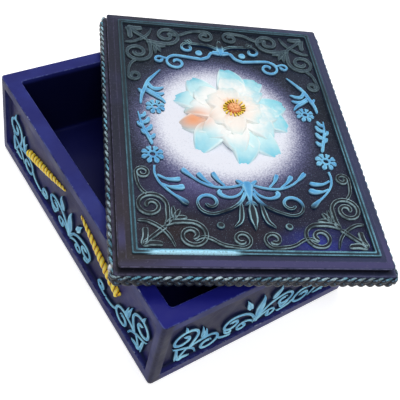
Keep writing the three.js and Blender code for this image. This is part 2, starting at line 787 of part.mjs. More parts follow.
function makeWreaths() {
  for (const [sideName, side] of [['left', -1], ['right', 1]]) {
    const pieces = [
      ['lower_spray', drawLowerSpray],
      ['leaf_chain', drawLeafChain],
      ['upper_spray', drawUpperSpray],
    ];
    for (const [pieceName, draw] of pieces) {
      const drawing = fieldDrawing(side);
      draw(drawing);
      addToField(`lid_${sideName}_${pieceName}`, drawing.geometry(), skyBlue);
    }
    const flowers = [['front', 38.5, -19.9, 5.2], ['back', 35.2, 10, 4.7]];
    for (const [endName, x, y, squares] of flowers) {
      const radius = squares * squareSize;
      const geometry = rosette(radius, radius * 0.2, rosettePetals, lidRelief);
      geometry.translate(side * x * squareSize, y * squareSize, 0).scale(fieldFit.x, fieldFit.y, 1);
      addToField(`lid_${endName}_${sideName}_rosette`, geometry, skyBlue);
    }
  }
}

// One ring of relief petals round the blossom's centre, joined where they start. The petals lie low as far as
// the ring or heart above covers them, then swell and fall to their tips.
function petalRing({ count, hub, covered, reach, width, level, offset }) {
  const low = petalLevel - glueGap;
  const solids = [];
  for (let i = 0; i < count; i++) {
    const angle = (360 * (i + offset)) / count;
    const turn = degrees(angle);
    const flat = blossomHalfLength * Math.cos(turn);
    const upright = blossomHalfWidth * Math.sin(turn);
    const oval = (blossomHalfWidth * blossomHalfLength) / Math.hypot(flat, upright);
    const tip = oval * reach;
    const cover = oval * covered + cutGap;
    const stations = [
      [hub, 0.7 * width, low],
      [cover, width, low],
      [cover + 0.5 * petalHeight, width, petalHeight],
      [THREE.MathUtils.lerp(cover, tip, 0.65), 0.75 * width, 0.85 * petalHeight],
      [tip, tipWidth, 0.4 * petalHeight],
    ];
    const loops = stations.map(([radius, across, high]) => {
      return petalSection.map(([side, up]) => {
        return new THREE.Vector3(radius, (side * across) / 2, up * high);
      });
    });
    solids.push(toSolid(loft(loops).rotateZ(turn)));
  }
  return toGeometry(join(solids)).translate(0, 0, level * petalLevel);
}

function makeBlossom() {
  const rings = [
    ['outer', cyan, 10, outerHubRadius, middleReach, 1, petalWidth],
    ['middle', white, 8, middleHubRadius, innerReach, middleReach, petalWidth],
    ['inner', white, 6, innerHubRadius, stamenReach, innerReach, innerPetalWidth],
  ];
  const centreY = blossomSquaresUp * squareSize * fieldFit.y;
  rings.forEach(([name, material, count, hub, covered, reach, width], level) => {
    const offset = level % 2 === 0 ? 0.5 : 0;
    const geometry = petalRing({ count, hub, covered, reach, width, level, offset });
    addToField(`blossom_${name}_petals`, geometry.translate(0, centreY, 0), material);
  });

  const stamenSeat = rings.length * petalLevel;
  const stamens = rosette(stamenRadius, heartRadius + cutGap, stamenCount, stamenHeight);
  addToField('blossom_stamens', stamens.translate(0, centreY, stamenSeat), gold);
  const heart = [[0, 1], [0.5, 0.92], [0.85, 0.66], [1, 0.3]];
  const heartLoops = heart.map(([up, out]) => circleLoop(heartRadius * out, stamenSeat + heartHeight * up));
  addToField('blossom_heart', loft(heartLoops).translate(0, centreY, 0), peach);
}

makeTray();
makePanelScrolls();
makeSpires();
makeLidBody();
makeLidFrame();
makeLidCorners();
makeFrontOrnament();
makeBackOrnament();
makeBeads();
makeWreaths();
makeBlossom();

export default box;
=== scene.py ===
"""A painted resin box for a deck of cards, with its lid lifted off and laid askew on the tray."""

import math

import bpy
import numpy as np
from mathutils import Matrix, Vector


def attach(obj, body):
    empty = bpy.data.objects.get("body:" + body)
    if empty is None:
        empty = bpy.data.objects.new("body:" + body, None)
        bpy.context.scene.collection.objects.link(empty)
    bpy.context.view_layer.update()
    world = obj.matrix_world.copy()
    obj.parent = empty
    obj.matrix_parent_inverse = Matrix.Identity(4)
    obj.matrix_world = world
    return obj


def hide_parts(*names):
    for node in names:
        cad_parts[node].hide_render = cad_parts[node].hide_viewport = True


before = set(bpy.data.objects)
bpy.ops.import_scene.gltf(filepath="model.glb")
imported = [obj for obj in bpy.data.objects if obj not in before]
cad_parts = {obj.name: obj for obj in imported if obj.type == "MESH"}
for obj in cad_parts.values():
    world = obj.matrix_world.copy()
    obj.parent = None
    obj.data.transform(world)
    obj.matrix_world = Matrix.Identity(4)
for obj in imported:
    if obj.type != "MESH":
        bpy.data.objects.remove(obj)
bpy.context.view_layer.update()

# Sizes in millimetres, as in the solids. A half is half the size across and half the size along
MM = 0.001
TRAY_HALF = (54.0, 75.0)
RIM = 47.0
FELT = 1.0
CAVITY_HALF = (47.0, 68.0)
CAVITY_FLOOR = 7.0
PLUG_FOOT = 47.3
BOARD_HALF = (56.4, 77.4)
BOARD_BOTTOM = 51.4
BOARD_TOP = 57.2
BRAID_HALF = (58.1, 79.1)
TOP_HALF = (54.9, 75.9)
TOP_BOTTOM = 57.3
SHOULDER = 60.5
MARGIN = 5.16
MARGIN_TOP = 61.2
FRAME_INSET = MARGIN + 2.3
FRAME_FOOT = 61.3
FIELD = 60.5
FIELD_HALF = (47.44, 68.44)
FIELD_FIT = FIELD_HALF[1] / 69.7

# The recessed panels in the tray's sides, and the half lengths of their floors
PANEL_SIDE = 4.5
PANEL_TOP = 42.5
LEDGE = 6.5
LEDGE_SLOPE = 0.5
COVE_SIDE = 1.2
COVE_TOP = 3.0
RECESS = 2.5
SHORT_HALF = 48.3
LONG_HALF = 69.3

# Reliefs: their heights, how deep they are set in, and the widths of their strokes
LID_RELIEF = 1.3
PANEL_RELIEF = 1.4
SUNK = 0.35
SCROLL = 1.7
PANEL_STROKE = 1.4
PANEL_BROAD = 1.15
LID_BROAD = 1.25
BROAD = 2.0
BARB = 2.4
BLADE = 4.4
CROWN = 7.5
TWIG = 1.1
TIP = 0.5
EYE = 1.25

# How deep the channel along a stroke is, as a share of the stroke's height
CORNER_CHANNEL = 0.42
PANEL_CHANNEL = 0.3
WREATH_CHANNEL = 0.16
ROSETTE_CHANNEL = 0.12
BUD_CHANNEL = 0.1

SIDES = (("left", -1), ("right", 1))
LID = Matrix.Translation((21.4 * MM, -7.0 * MM, 0)) @ Matrix.Rotation(math.radians(-26.3), 4, "Z")
LID_FIELD = LID @ Matrix.Translation((0, 0, FIELD * MM))


# Camera, at the photograph's viewing angle
def make_camera():
    azimuth, elevation, roll = (math.radians(angle) for angle in (-44.94, 48.54, 15.94))
    back = Vector((
        math.sin(azimuth) * math.cos(elevation),
        -math.cos(azimuth) * math.cos(elevation),
        math.sin(elevation),
    ))
    level = Vector((math.cos(azimuth), math.sin(azimuth), 0))
    upright = back.cross(level)
    right = math.cos(roll) * level + math.sin(roll) * upright
    up = -math.sin(roll) * level + math.cos(roll) * upright
    data = bpy.data.cameras.new("camera")
    data.sensor_width = 36
    data.lens = 62.37
    data.clip_start = 0.01
    data.clip_end = 10
    camera = bpy.data.objects.new("camera", data)
    bpy.context.scene.collection.objects.link(camera)
    place = Matrix((right, up, back)).transposed().to_4x4()
    place.translation = Vector((-0.14659, -0.16693, 0.26909))
    camera.matrix_world = place
    bpy.context.scene.camera = camera


# Materials
def paint(red, green, blue):
    """A colour written as it shows on screen, from 0 to 255, as linear light."""
    def linear(value):
        value /= 255
        return value / 12.92 if value <= 0.04045 else ((value + 0.055) / 1.055) ** 2.4
    return (linear(red), linear(green), linear(blue), 1.0)


class Finish:
    """A procedural material and the nodes that colour it."""

    def __init__(self, name, roughness, gloss):
        self.material = bpy.data.materials.new(name)
        self.material.use_nodes = True
        self.tree = self.material.node_tree
        self.shader = self.tree.nodes["Principled BSDF"]
        self.shader.inputs["Specular IOR Level"].default_value = gloss
        self.shader.inputs["Roughness"].default_value = roughness
        self.place = self.add("TexCoord", out="Object")
        self.material.diffuse_color = (0.1, 0.1, 0.2, 1)

    def put(self, socket, value):
        if isinstance(value, bpy.types.NodeSocket):
            self.tree.links.new(value, socket)
        elif value is not None:
            socket.default_value = value

    def add(self, kind, *values, out=0, **settings):
        node = self.tree.nodes.new("ShaderNode" + kind)
        for name, value in settings.items():
            setattr(node, name, value)
        for socket, value in zip(node.inputs, values):
            self.put(socket, value)
        return node.outputs[out]

    def math(self, operation, first, second=None, clamp=False):
        return self.add("Math", first, second, operation=operation, use_clamp=clamp)

    def times(self, first, *others):
        for other in others:
            first = self.math("MULTIPLY", first, other)
        return first

    def axis(self, name):
        return self.add("SeparateXYZ", self.place, out=name)

    def noise(self, scale, detail=3.0, roughness=0.55, stretch=None, seed=0.0):
        """Cloudy noise about 0.5. The scale is in features per metre."""
        at = self.place
        if stretch is not None or seed:
            at = self.add("Mapping", at, (seed, seed * 0.7, 0.3 * seed), None, stretch or (1, 1, 1))
        return self.add("TexNoise", at, None, scale, detail, roughness, out="Fac")

    def step(self, value, low, high, start=0.0, end=1.0):
        """Runs smoothly from start to end as the value goes from low to high."""
        node = self.tree.nodes.new("ShaderNodeMapRange")
        node.interpolation_type = "SMOOTHSTEP"
        for index, item in enumerate((value, low, high, start, end)):
            self.put(node.inputs[index], item)
        return node.outputs[0]

    def along(self, name, low, high, start=0.0, end=1.0):
        """The same along an axis of the piece, in millimetres."""
        return self.step(self.axis(name), low * MM, high * MM, start, end)

    def mix(self, share, first, second):
        node = self.tree.nodes.new("ShaderNodeMix")
        node.data_type = "RGBA"
        # The node's sockets for colours are inputs 6 and 7 and output 2
        for index, item in ((0, share), (6, first), (7, second)):
            self.put(node.inputs[index], item)
        return node.outputs[2]

    def coats(self, base, *layers):
        """Lays paint over a base, each layer a share and a colour."""
        for share, colour in layers:
            base = self.mix(share, base, colour)
        return base

    def attribute(self, name):
        return self.add("Attribute", out="Fac", attribute_name=name)

    def near(self, x, y, reach_x, reach_y):
        """1 at a point of the piece's own plan, falling to 0 over the reach, in millimetres."""
        squares = []
        for name, centre, reach in (("X", x, reach_x), ("Y", y, reach_y)):
            away = self.math("DIVIDE", self.math("SUBTRACT", self.axis(name), centre * MM), reach * MM)
            squares.append(self.times(away, away))
        return self.step(self.math("SQRT", self.math("ADD", *squares)), 1.0, 0.0)

    def occlusion(self, distance):
        return self.add("AmbientOcclusion", None, distance * MM, out="AO", samples=8)

    def colour(self, value):
        self.put(self.shader.inputs["Base Color"], value)

    def rough(self, value):
        self.put(self.shader.inputs["Roughness"], value)

    def bump(self, height, strength, distance):
        node = self.tree.nodes.new("ShaderNodeBump")
        node.inputs["Strength"].default_value = strength
        node.inputs["Distance"].default_value = distance * MM
        self.put(node.inputs["Height"], height)
        self.put(self.shader.inputs["Normal"], node.outputs[0])


def make_tray_finish():
    """Navy inside and on the rim, slate-indigo outside, rubbed pale along the edges. Painted shade darkens
    the cavity below the rim, and dark wash with painted shade rings the panels' reliefs.
    """
    skin = Finish("navy_resin", 0.42, 0.1)
    edge = skin.attribute("edge")
    cloud = skin.step(skin.noise(28, 3), 0.35, 0.7)
    floor = skin.coats(
        skin.mix(cloud, paint(22, 19, 64), paint(28, 28, 92)),
        (skin.times(skin.along("Y", -70, -71.5), 0.6), paint(20, 18, 40)),
        # Dark wash and painted shade: the recess floor darkens where ambient occlusion finds reliefs close by
        (skin.step(skin.occlusion(3.2), 0.95, 0.6), paint(8, 22, 48)),
    )
    front_left_border = skin.times(skin.along("X", -47.5, -50.5), skin.along("Y", -72.5, -74.5), 0.8)
    wall = skin.coats(
        skin.mix(cloud, paint(26, 29, 76), paint(34, 40, 100)),
        (skin.times(skin.along("Z", 26, 2), 0.5), paint(38, 36, 104)),
        (skin.step(skin.attribute("recess"), 0.4, 1.0), floor),
        (front_left_border, paint(18, 15, 32)),
    )
    bare = skin.coats(
        skin.mix(skin.step(skin.noise(40, 4, seed=2), 0.4, 0.7), paint(32, 36, 104), paint(42, 50, 124)),
        (skin.times(skin.along("Y", -20, -60), 0.8), paint(20, 22, 112)),
        # Painted shade: below the rim the inside darkens to near black where the lid shades it, and the
        # cavity's floor to a less dark navy
        (skin.along("Z", 46.2, 43.5), paint(9, 12, 48)),
        (skin.along("Z", 9.5, 7.5), paint(14, 18, 70)),
    )
    scuffs = skin.step(skin.noise(420, 5, 0.7, seed=4), 0.42, 0.6)
    chips = skin.times(skin.step(edge, 0.55, 0.9), skin.step(skin.noise(240, 2, seed=9), 0.66, 0.7))
    skin.colour(skin.coats(
        skin.mix(skin.attribute("inner"), wall, bare),
        (skin.times(edge, scuffs, 0.55), paint(96, 108, 164)),
        (skin.times(chips, 0.7), paint(168, 176, 200)),
    ))
    skin.rough(skin.step(skin.noise(90, 4, seed=6), 0.3, 0.7, 0.34, 0.5))
    grain = skin.math("ADD", skin.noise(900, 2, seed=1), skin.times(skin.noise(140, 3, seed=3), 2.5))
    skin.bump(grain, 0.35, 0.12)
    return skin.material


def make_felt_finish():
    skin = Finish("black_felt", 0.95, 0.1)
    fibre = skin.noise(2600, 4, 0.7, (1, 0.4, 1))
    skin.colour(skin.mix(fibre, paint(14, 14, 18), paint(48, 48, 56)))
    skin.shader.inputs["Sheen Weight"].default_value = 0.4
    skin.bump(fibre, 0.8, 0.3)
    return skin.material


def make_lid_finish():
    """Plum-slate lid with an airbrushed white halo on its field."""
    skin = Finish("plum_resin", 0.44, 0.1)
    field = skin.attribute("field")
    cloud = skin.noise(30, 4, seed=3)
    margin = skin.coats(
        skin.mix(skin.step(cloud, 0.35, 0.65), paint(35, 37, 51), paint(46, 48, 72)),
        (skin.times(skin.along("X", -30, 50), 0.6), paint(56, 64, 96)),
        (skin.near(-52, -50, 9, 40), paint(46, 41, 50)),
        # Painted sheen: the top panel's shoulder is lighter violet along the front
        (skin.times(skin.attribute("band"), skin.along("Y", -50, -68)), paint(68, 66, 104)),
        (skin.near(-50, -71, 30, 9), paint(46, 42, 46)),
        # Painted shade in the groove under the top panel's lip and on the board beneath it
        (skin.attribute("groove"), paint(19, 20, 31)),
    )
    spray = skin.times(skin.math("SUBTRACT", skin.noise(1500, 2, seed=7), 0.5), 0.3)
    glow = skin.math("ADD", skin.near(-5, 2, 54, 57), spray)
    ground = skin.coats(
        skin.mix(skin.step(cloud, 0.4, 0.68), paint(20, 27, 38), paint(32, 38, 54)),
        (skin.times(skin.along("Y", 35, -60), 0.5), paint(38, 35, 58)),
        (skin.near(-32, -59, 24, 14), paint(36, 29, 33)),
        (skin.near(-2, -60, 24, 9), paint(33, 29, 40)),
        (skin.times(skin.near(26, -63, 32, 12), skin.step(cloud, 0.3, 0.62)), paint(44, 52, 132)),
        (skin.near(-22, -35, 28, 17), paint(66, 62, 102)),
        (skin.step(glow, 0.04, 0.4, 0.0, 0.65), paint(132, 134, 184)),
        (skin.step(glow, 0.2, 0.52), paint(230, 232, 242)),
    )
    dust = skin.step(skin.noise(900, 4, 0.7, seed=9), 0.56, 0.7)
    specks = skin.step(skin.noise(1900, 2, 0.6, seed=12), 0.62, 0.7)
    scuffs = skin.step(skin.noise(380, 5, 0.7, seed=4), 0.38, 0.6)
    skin.colour(skin.coats(
        skin.mix(field, margin, ground),
        (skin.times(dust, 0.18), paint(120, 118, 140)),
        (skin.times(specks, field, 0.35), paint(150, 180, 206)),
        (skin.times(skin.attribute("edge"), scuffs, 0.65), paint(116, 112, 150)),
    ))
    skin.rough(skin.step(skin.noise(90, 4, seed=6), 0.3, 0.7, 0.36, 0.5))
    grain = skin.math("ADD", skin.noise(1000, 2, seed=1), skin.times(skin.noise(160, 3, seed=2), 2.2))
    skin.bump(grain, 0.4, 0.12)
    return skin.material


def make_dry_brushed(name, dark, pale, across_low, across_high, strength, rule=False):
    """Dark relief whose ridges are brushed with a pale colour. The rule is worn bright along the front."""
    skin = Finish(name, 0.5, 0.16)
    across = skin.attribute("across")
    inner = skin.step(across, across_low - 0.22, across_low)
    outer = skin.step(across, across_high + 0.12, across_high)
    patchy = skin.step(skin.noise(170, 4, 0.65, seed=5), 0.34, 0.6, 0.5 if rule else 0.22, 1.0)
    fine = skin.step(skin.noise(1300, 3, 0.7, seed=8), 0.3, 0.6, 0.5, 1.0)
    cover = skin.times(inner, outer, patchy, fine, strength, skin.along("Y", 30, -30, 0.35, 1.0))
    base = skin.mix(skin.noise(60, 3, seed=1), dark, tuple(1.7 * value for value in dark[:3]) + (1.0,))
    if rule:
        bright = skin.times(skin.near(-26, -69.6, 22, 9), skin.along("Y", -68.9, -69.4))
        worn = skin.times(skin.step(bright, 0.02, 0.2), fine)
        cover = skin.math("ADD", skin.times(cover, skin.along("X", -46, -48, 1.0, 0.55)), worn, clamp=True)
        pale = skin.mix(skin.step(bright, 0.03, 0.25), pale, paint(176, 228, 248))
    else:
        back = skin.times(skin.along("Y", 0, 30), skin.step(across, 0.98, 0.84), 0.85)
        base = skin.mix(back, base, paint(62, 80, 92))
    skin.colour(skin.mix(cover, base, pale))
    skin.bump(skin.noise(1400, 3, seed=2), 0.4, 0.1)
    return skin.material


def make_sky_finish(name, top, shade, foot, flank_low=0.84, fading=False):
    """Sky-blue relief with dark flanks. A fading one is dark with pale outlines near the lid's ends."""
    skin = Finish(name, 0.5, 0.16)
    across = skin.attribute("across")
    cloud = skin.step(skin.noise(120, 4, 0.6, seed=3), 0.35, 0.68)
    face = skin.coats(
        skin.mix(cloud, shade, top),
        (skin.times(skin.step(across, 0.45, 0.7), 0.4), paint(176, 226, 246)),
        (skin.times(skin.step(across, 0.4, 0.1), 0.4), paint(52, 116, 172)),
    )
    if fading:
        far = skin.math("MAXIMUM", skin.along("Y", -42, -47), skin.along("Y", 51.5, 55))
        line = skin.times(skin.step(across, 0.4, 0.6), skin.step(across, 0.88, 0.8), cloud)
        face = skin.mix(far, face, skin.mix(line, paint(24, 32, 42), paint(158, 204, 218)))
    skin.colour(skin.mix(skin.step(across, flank_low, flank_low + 0.16), face, foot))
    skin.bump(skin.noise(1200, 3, seed=6), 0.5, 0.12)
    return skin.material


def make_petal_finish(name, heart, body, tip):
    """Airbrushed petals: white and cyan, with a warm blush on some of them."""
    skin = Finish(name, 0.5, 0.16)
    drift = skin.times(skin.math("SUBTRACT", skin.noise(90, 3, seed=3), 0.5), 0.7)
    wave = skin.math("ADD", skin.attribute("along"), drift)
    slant = skin.math("ADD", skin.axis("X"), skin.times(skin.axis("Y"), 0.45))
    cool = skin.step(slant, -4 * MM, 30 * MM)
    strand = skin.step(skin.noise(150, 3, 0.6, seed=8), 0.38, 0.62)
    skin.colour(skin.coats(
        skin.mix(skin.step(wave, 0.0, 0.35), heart, body),
        (skin.step(wave, 0.45, 1.05), tip),
        (skin.times(cool, strand, 0.75), paint(120, 208, 226)),
        (skin.times(skin.near(-19, -6, 13, 10), 0.9), paint(238, 150, 92)),
        (skin.times(skin.step(skin.attribute("side"), 0.75, 1.0), 0.5), paint(250, 252, 250)),
    ))
    skin.bump(skin.noise(900, 3, seed=2), 0.4, 0.12)
    return skin.material


def make_gold_finish():
    skin = Finish("gold_paint", 0.3, 0.45)
    crest = skin.attribute("crest")
    cloud = skin.step(skin.noise(300, 3, seed=2), 0.35, 0.65)
    face = skin.mix(cloud, paint(244, 190, 12), paint(254, 218, 44))
    # Painted highlight on the crests, and painted shade down in the grooves between them
    face = skin.mix(skin.times(skin.step(crest, 0.78, 0.97), 0.7), face, paint(255, 246, 120))
    skin.colour(skin.mix(skin.step(crest, 0.2, 0.62), paint(84, 48, 2), face))
    skin.bump(skin.noise(1500, 3, seed=4), 0.35, 0.1)
    return skin.material


def make_peach_finish():
    skin = Finish("peach_paint", 0.5, 0.3)
    across = skin.attribute("across")
    skin.colour(skin.mix(skin.step(across, 0.3, 1.0), paint(246, 186, 130), paint(206, 110, 58)))
    skin.bump(skin.noise(1200, 3, seed=4), 0.4, 0.1)
    return skin.material


def make_braid_finish():
    """Dark strands, a ragged pale line along the top that is dry brushing and painted highlight, and thin
    painted glints on the strands' edges below.
    """
    skin = Finish("braid_paint", 0.42, 0.25)
    fine = skin.noise(1500, 3, 0.7, seed=3)
    glint = skin.times(skin.step(skin.attribute("crest"), 0.66, 0.92), skin.step(fine, 0.42, 0.56), 0.8)
    # Dry brushing and painted highlight along the braid's top, weaker towards the right
    brushed = skin.times(
        skin.step(skin.attribute("top"), 0.68, 0.9),
        skin.step(fine, 0.36, 0.5),
        skin.step(skin.noise(60, 3, seed=5), 0.35, 0.62, 0.45, 1.0),
        skin.along("X", 10, 40, 1.0, 0.72),
    )
    pale = skin.step(skin.noise(110, 2, seed=8), 0.42, 0.6)
    skin.colour(skin.coats(
        skin.mix(skin.noise(200, 3, seed=1), paint(10, 13, 22), paint(26, 30, 42)),
        (glint, paint(92, 124, 150)),
        (brushed, skin.mix(pale, paint(112, 180, 206), paint(184, 212, 224))),
        (skin.near(-62.9, -46.7, 2.4, 2.4), paint(238, 240, 242)),
    ))
    skin.bump(fine, 0.5, 0.15)
    return skin.material


# Meshes, given in millimetres in a piece's own frame
def make_piece(name, shells, place, body, slot, finish, *nodes, sharp=40):
    """One object out of closed shells, each (points, faces, {attribute: values})."""
    points, faces, values, start = [], [], {}, 0
    names = sorted({key for shell in shells for key in shell[2]})
    for shell_points, shell_faces, attributes in shells:
        points.append(np.asarray(shell_points, float))
        faces += [[start + index for index in face] for face in shell_faces]
        for key in names:
            values.setdefault(key, []).append(np.broadcast_to(attributes.get(key, 0.0), len(shell_points)))
        start += len(shell_points)
    mesh = bpy.data.meshes.new(name)
    mesh.from_pydata((np.concatenate(points) * MM).tolist(), [], faces)
    for key in names:
        layer = mesh.attributes.new(key, "FLOAT", "POINT")
        layer.data.foreach_set("value", np.concatenate(values[key]).astype(np.float32))
    mesh.polygons.foreach_set("use_smooth", [True] * len(mesh.polygons))
    mesh.set_sharp_from_angle(angle=math.radians(sharp))
    mesh.materials.append(finish)
    piece = bpy.data.objects.new(name, mesh)
    bpy.context.scene.collection.objects.link(piece)
    piece.matrix_world = place
    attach(piece, body)
    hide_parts(*nodes)
    return piece


def loft_faces(rows, count, closed=False):
    """Quads between loops of equal count. Open lofts get a flat face at each end."""
    faces = []
    for row in range(rows if closed else rows - 1):
        here, there = row * count, (row + 1) % rows * count
        for column in range(count):
            beside = (column + 1) % count
            faces.append((here + column, here + beside, there + beside, there + column))
    if not closed:
        faces.append(tuple(reversed(range(count))))
        faces.append(tuple(range((rows - 1) * count, rows * count)))
    return faces


def arch(distance, reach):
    """Quarter round from 0 at the edge to 1 at the reach."""
    share = np.clip(distance / reach, 0, 1)
    return np.sqrt(1 - (1 - share) ** 2)


def on_side(side, along, outward):
    """Points along a wall, put on the plan. Side 0 is the front, and the others follow anticlockwise."""
    cosine, sine = (1, 0, -1, 0)[side], (0, 1, 0, -1)[side]
    return np.stack((cosine * along + sine * outward, sine * along - cosine * outward), 1)


def rotated(points, angle):
    """The points turned anticlockwise about z, in degrees."""
    cosine, sine = math.cos(math.radians(angle)), math.sin(math.radians(angle))
    return points @ np.array(((cosine, sine, 0), (-sine, cosine, 0), (0, 0, 1)))


# Places along a wall where its loops have a point, measured in from a panel's end, and the panel's rows
COLUMN_STEPS = (-0.8, -0.25, 0, 0.08, 0.25, 0.5, 0.8, 1.2, 2.5, 6, 12, 20, 30, 40)
ROW_STEPS = (0, 0.06, 0.2, 0.4, 0.5, 1.0, 4, 12, 22, 31, 33, 33.6, 34.4, 35.2, 35.7, 35.94, 36)
CORNER_STEPS = 6
EDGE_STEPS = 5


def wall_columns(half):
    ends = [step for step in COLUMN_STEPS if step < half - PANEL_SIDE]
    outer = [-(half - PANEL_SIDE) + step for step in ends]
    return np.array(outer + [0.0] + [-value for value in reversed(outer)])


WALL_COLUMNS = (wall_columns(TRAY_HALF[0]), wall_columns(TRAY_HALF[1]))


def recess_depth(along, height, half):
    side = arch(half - PANEL_SIDE - np.abs(along), COVE_SIDE)
    top = arch(PANEL_TOP - height, COVE_TOP)
    bottom = arch(height - LEDGE, LEDGE_SLOPE)
    return RECESS * np.minimum(np.minimum(side, top), bottom)


def ring(half, radius, height, recessed=False):
    """Rounded rectangle, anticlockwise from the front's left end, with points where the walls need them."""
    loop, recess, edge = [], [], []
    angles = np.radians(-90 + 90 * np.arange(1, CORNER_STEPS) / CORNER_STEPS)
    within = recessed and LEDGE - 0.1 < height < PANEL_TOP + 0.1
    for side in range(4):
        columns = WALL_COLUMNS[side % 2]
        wall_half, out = half[side % 2], half[1 - side % 2]
        straight = wall_half - radius
        if recessed:
            columns = np.concatenate(([-straight], columns[1:-1], [straight]))
            depth = recess_depth(columns, height, wall_half)
        else:
            columns = columns * straight / np.abs(columns).max()
            depth = np.zeros(len(columns))
        along = np.concatenate((columns, straight + radius * np.cos(angles)))
        outward = np.concatenate((out - depth, out - radius - radius * np.sin(angles)))
        loop.append(on_side(side, along, outward))
        recess.append(np.concatenate((depth / RECESS, np.zeros(len(angles)))))
        lip = np.abs(wall_half - PANEL_SIDE - np.abs(columns)) < 0.1
        edge.append(np.concatenate((np.where(lip & within, 0.6, 0.0), np.full(len(angles), 0.35))))
    flat = np.concatenate(loop)
    points = np.column_stack((flat, np.full(len(flat), height)))
    return points, np.concatenate(recess), np.concatenate(edge)


def stack(rings, closed=False):
    """Shell out of rings, each (half, radius, height, attributes)."""
    points, values = [], {}
    for half, radius, height, attributes in rings:
        loop, recess, corner = ring(half, radius, height, attributes.get("recessed", False))
        points.append(loop)
        edge = np.maximum(attributes.get("edge", 0.0), corner * attributes.get("corner", 0.0))
        row = {"edge": edge, "recess": recess}
        row.update({key: attributes.get(key, 0.0) for key in ("inner", "field", "groove", "band")})
        for key, value in row.items():
            values.setdefault(key, []).append(np.broadcast_to(value, len(loop)))
    values = {key: np.concatenate(value) for key, value in values.items()}
    return np.concatenate(points), loft_faces(len(rings), len(points[0]), closed), values


def inset(half, amount):
    """A rectangle's half sizes, drawn in by an amount all round."""
    return (half[0] - amount, half[1] - amount)


def rounded_edge(half, radius, size, start, end, height, **attributes):
    """Rings round a quarter-round edge, from start to end in degrees, with 0 outwards and 90 up."""
    rings = []
    for step in range(EDGE_STEPS + 1):
        angle = math.radians(start + (end - start) * step / EDGE_STEPS)
        pull = size * (1 - math.cos(angle))
        edge = attributes.get("edge", 0.0) * math.sin(math.pi * step / EDGE_STEPS)
        up = height + size * math.sin(angle)
        rings.append((inset(half, pull), max(radius - pull, 0.3), up, {**attributes, "edge": edge}))
    return rings


def make_tray(finish):
    """Rings run up the outside, over the rim and down the inside to the cavity's floor."""
    radius, bevel, lip, fillet = 1.6, 0.5, 0.45, 1.5
    outside = {"corner": 0.25, "recessed": True}
    inside = {"inner": 1.0}
    bottom = FELT + bevel
    rings = [(inset(TRAY_HALF, 6), 1, FELT, {})]
    rings += rounded_edge(TRAY_HALF, radius, bevel, -90, 0, bottom, edge=0.6)[:-1]
    rings += [(TRAY_HALF, radius, height, outside) for height in (bottom, 3, 6, 6.35)]
    for step in ROW_STEPS:
        worn = {ROW_STEPS[0]: 1.0, ROW_STEPS[-1]: 0.3}.get(step, 0.0)
        rings.append((TRAY_HALF, radius, LEDGE + step, {**outside, "edge": worn}))
    rings += [(TRAY_HALF, radius, height, outside) for height in (42.65, 43.2, 46.2)]
    rim = rounded_edge(TRAY_HALF, radius, bevel, 0, 90, RIM - bevel, edge=1.0)
    for index, (_, _, _, attributes) in enumerate(rim):
        attributes["inner"] = index / EDGE_STEPS
    rings += rim
    rings += [(inset(TRAY_HALF, 1.0), 1.2, RIM, inside), (inset(CAVITY_HALF, -1.2), 2.2, RIM, inside)]
    quarter = [math.radians(90 * step / 4) for step in range(5)]
    for angle in quarter:
        half = inset(CAVITY_HALF, -lip * (1 - math.sin(angle)))
        height = RIM - lip * (1 - math.cos(angle))
        rings.append((half, 1.8, height, {**inside, "edge": math.sin(2 * angle)}))
    rings += [(CAVITY_HALF, radius, height, inside) for height in (45.4, 40, 25, 12)]
    for angle in quarter:
        half = inset(CAVITY_HALF, fillet * (1 - math.cos(angle)))
        rings.append((half, radius, CAVITY_FLOOR + fillet * (1 - math.sin(angle)), inside))
    rings.append((inset(CAVITY_HALF, 6), 1, CAVITY_FLOOR, inside))
    make_piece("tray_casting", [stack(rings)], Matrix(), "tray", "navy_resin", finish, "tray", sharp=50)


def make_felt(finish):
    half = inset(TRAY_HALF, 4)
    levels = ((0.3, 0.0), (0, 0.2), (0, 0.75), (0.2, 0.93))
    points, faces, _ = stack([(inset(half, pull), 3, height, {}) for pull, height in levels])
    points[:, 0] += 0.12 * np.sin(points[:, 1] * 1.7) * (points[:, 2] > 0.1)
    make_piece("felt_pad", [(points, faces, {})], Matrix(), "tray", "black_felt", finish, "base_felt")


def make_lid_board(finish):
    """The board, with the plug under it."""
    plug = inset(CAVITY_HALF, 1)
    rings = [(inset(plug, 5), 1, PLUG_FOOT, {}), (inset(plug, 0.6), 1.2, PLUG_FOOT, {})]
    rings += rounded_edge(plug, 1.6, 0.6, -60, 0, PLUG_FOOT + 0.6, edge=0.6)
    rings += [
        (plug, 1.6, BOARD_BOTTOM - 0.4, {}),
        (inset(plug, -0.4), 2.0, BOARD_BOTTOM, {}),
        (inset(BOARD_HALF, 0.4), 1.0, BOARD_BOTTOM, {}),
        (BOARD_HALF, 1.2, BOARD_BOTTOM + 0.4, {}),
        (BOARD_HALF, 1.2, BOARD_TOP - 0.3, {}),
        (inset(BOARD_HALF, 0.3), 1.0, BOARD_TOP, {"edge": 0.4}),
        # The groove value marks where the lid's finish paints shade under the top panel's lip
        (inset(TOP_HALF, -0.1), 1.2, BOARD_TOP, {"groove": 0.35}),
        (inset(TOP_HALF, 1.3), 1.0, BOARD_TOP, {"groove": 1.0}),
        (inset(BOARD_HALF, 6), 1, BOARD_TOP, {"groove": 1.0}),
    ]
    make_piece("lid_board_casting", [stack(rings)], LID, "lid", "plum_resin", finish, "lid_board", sharp=50)


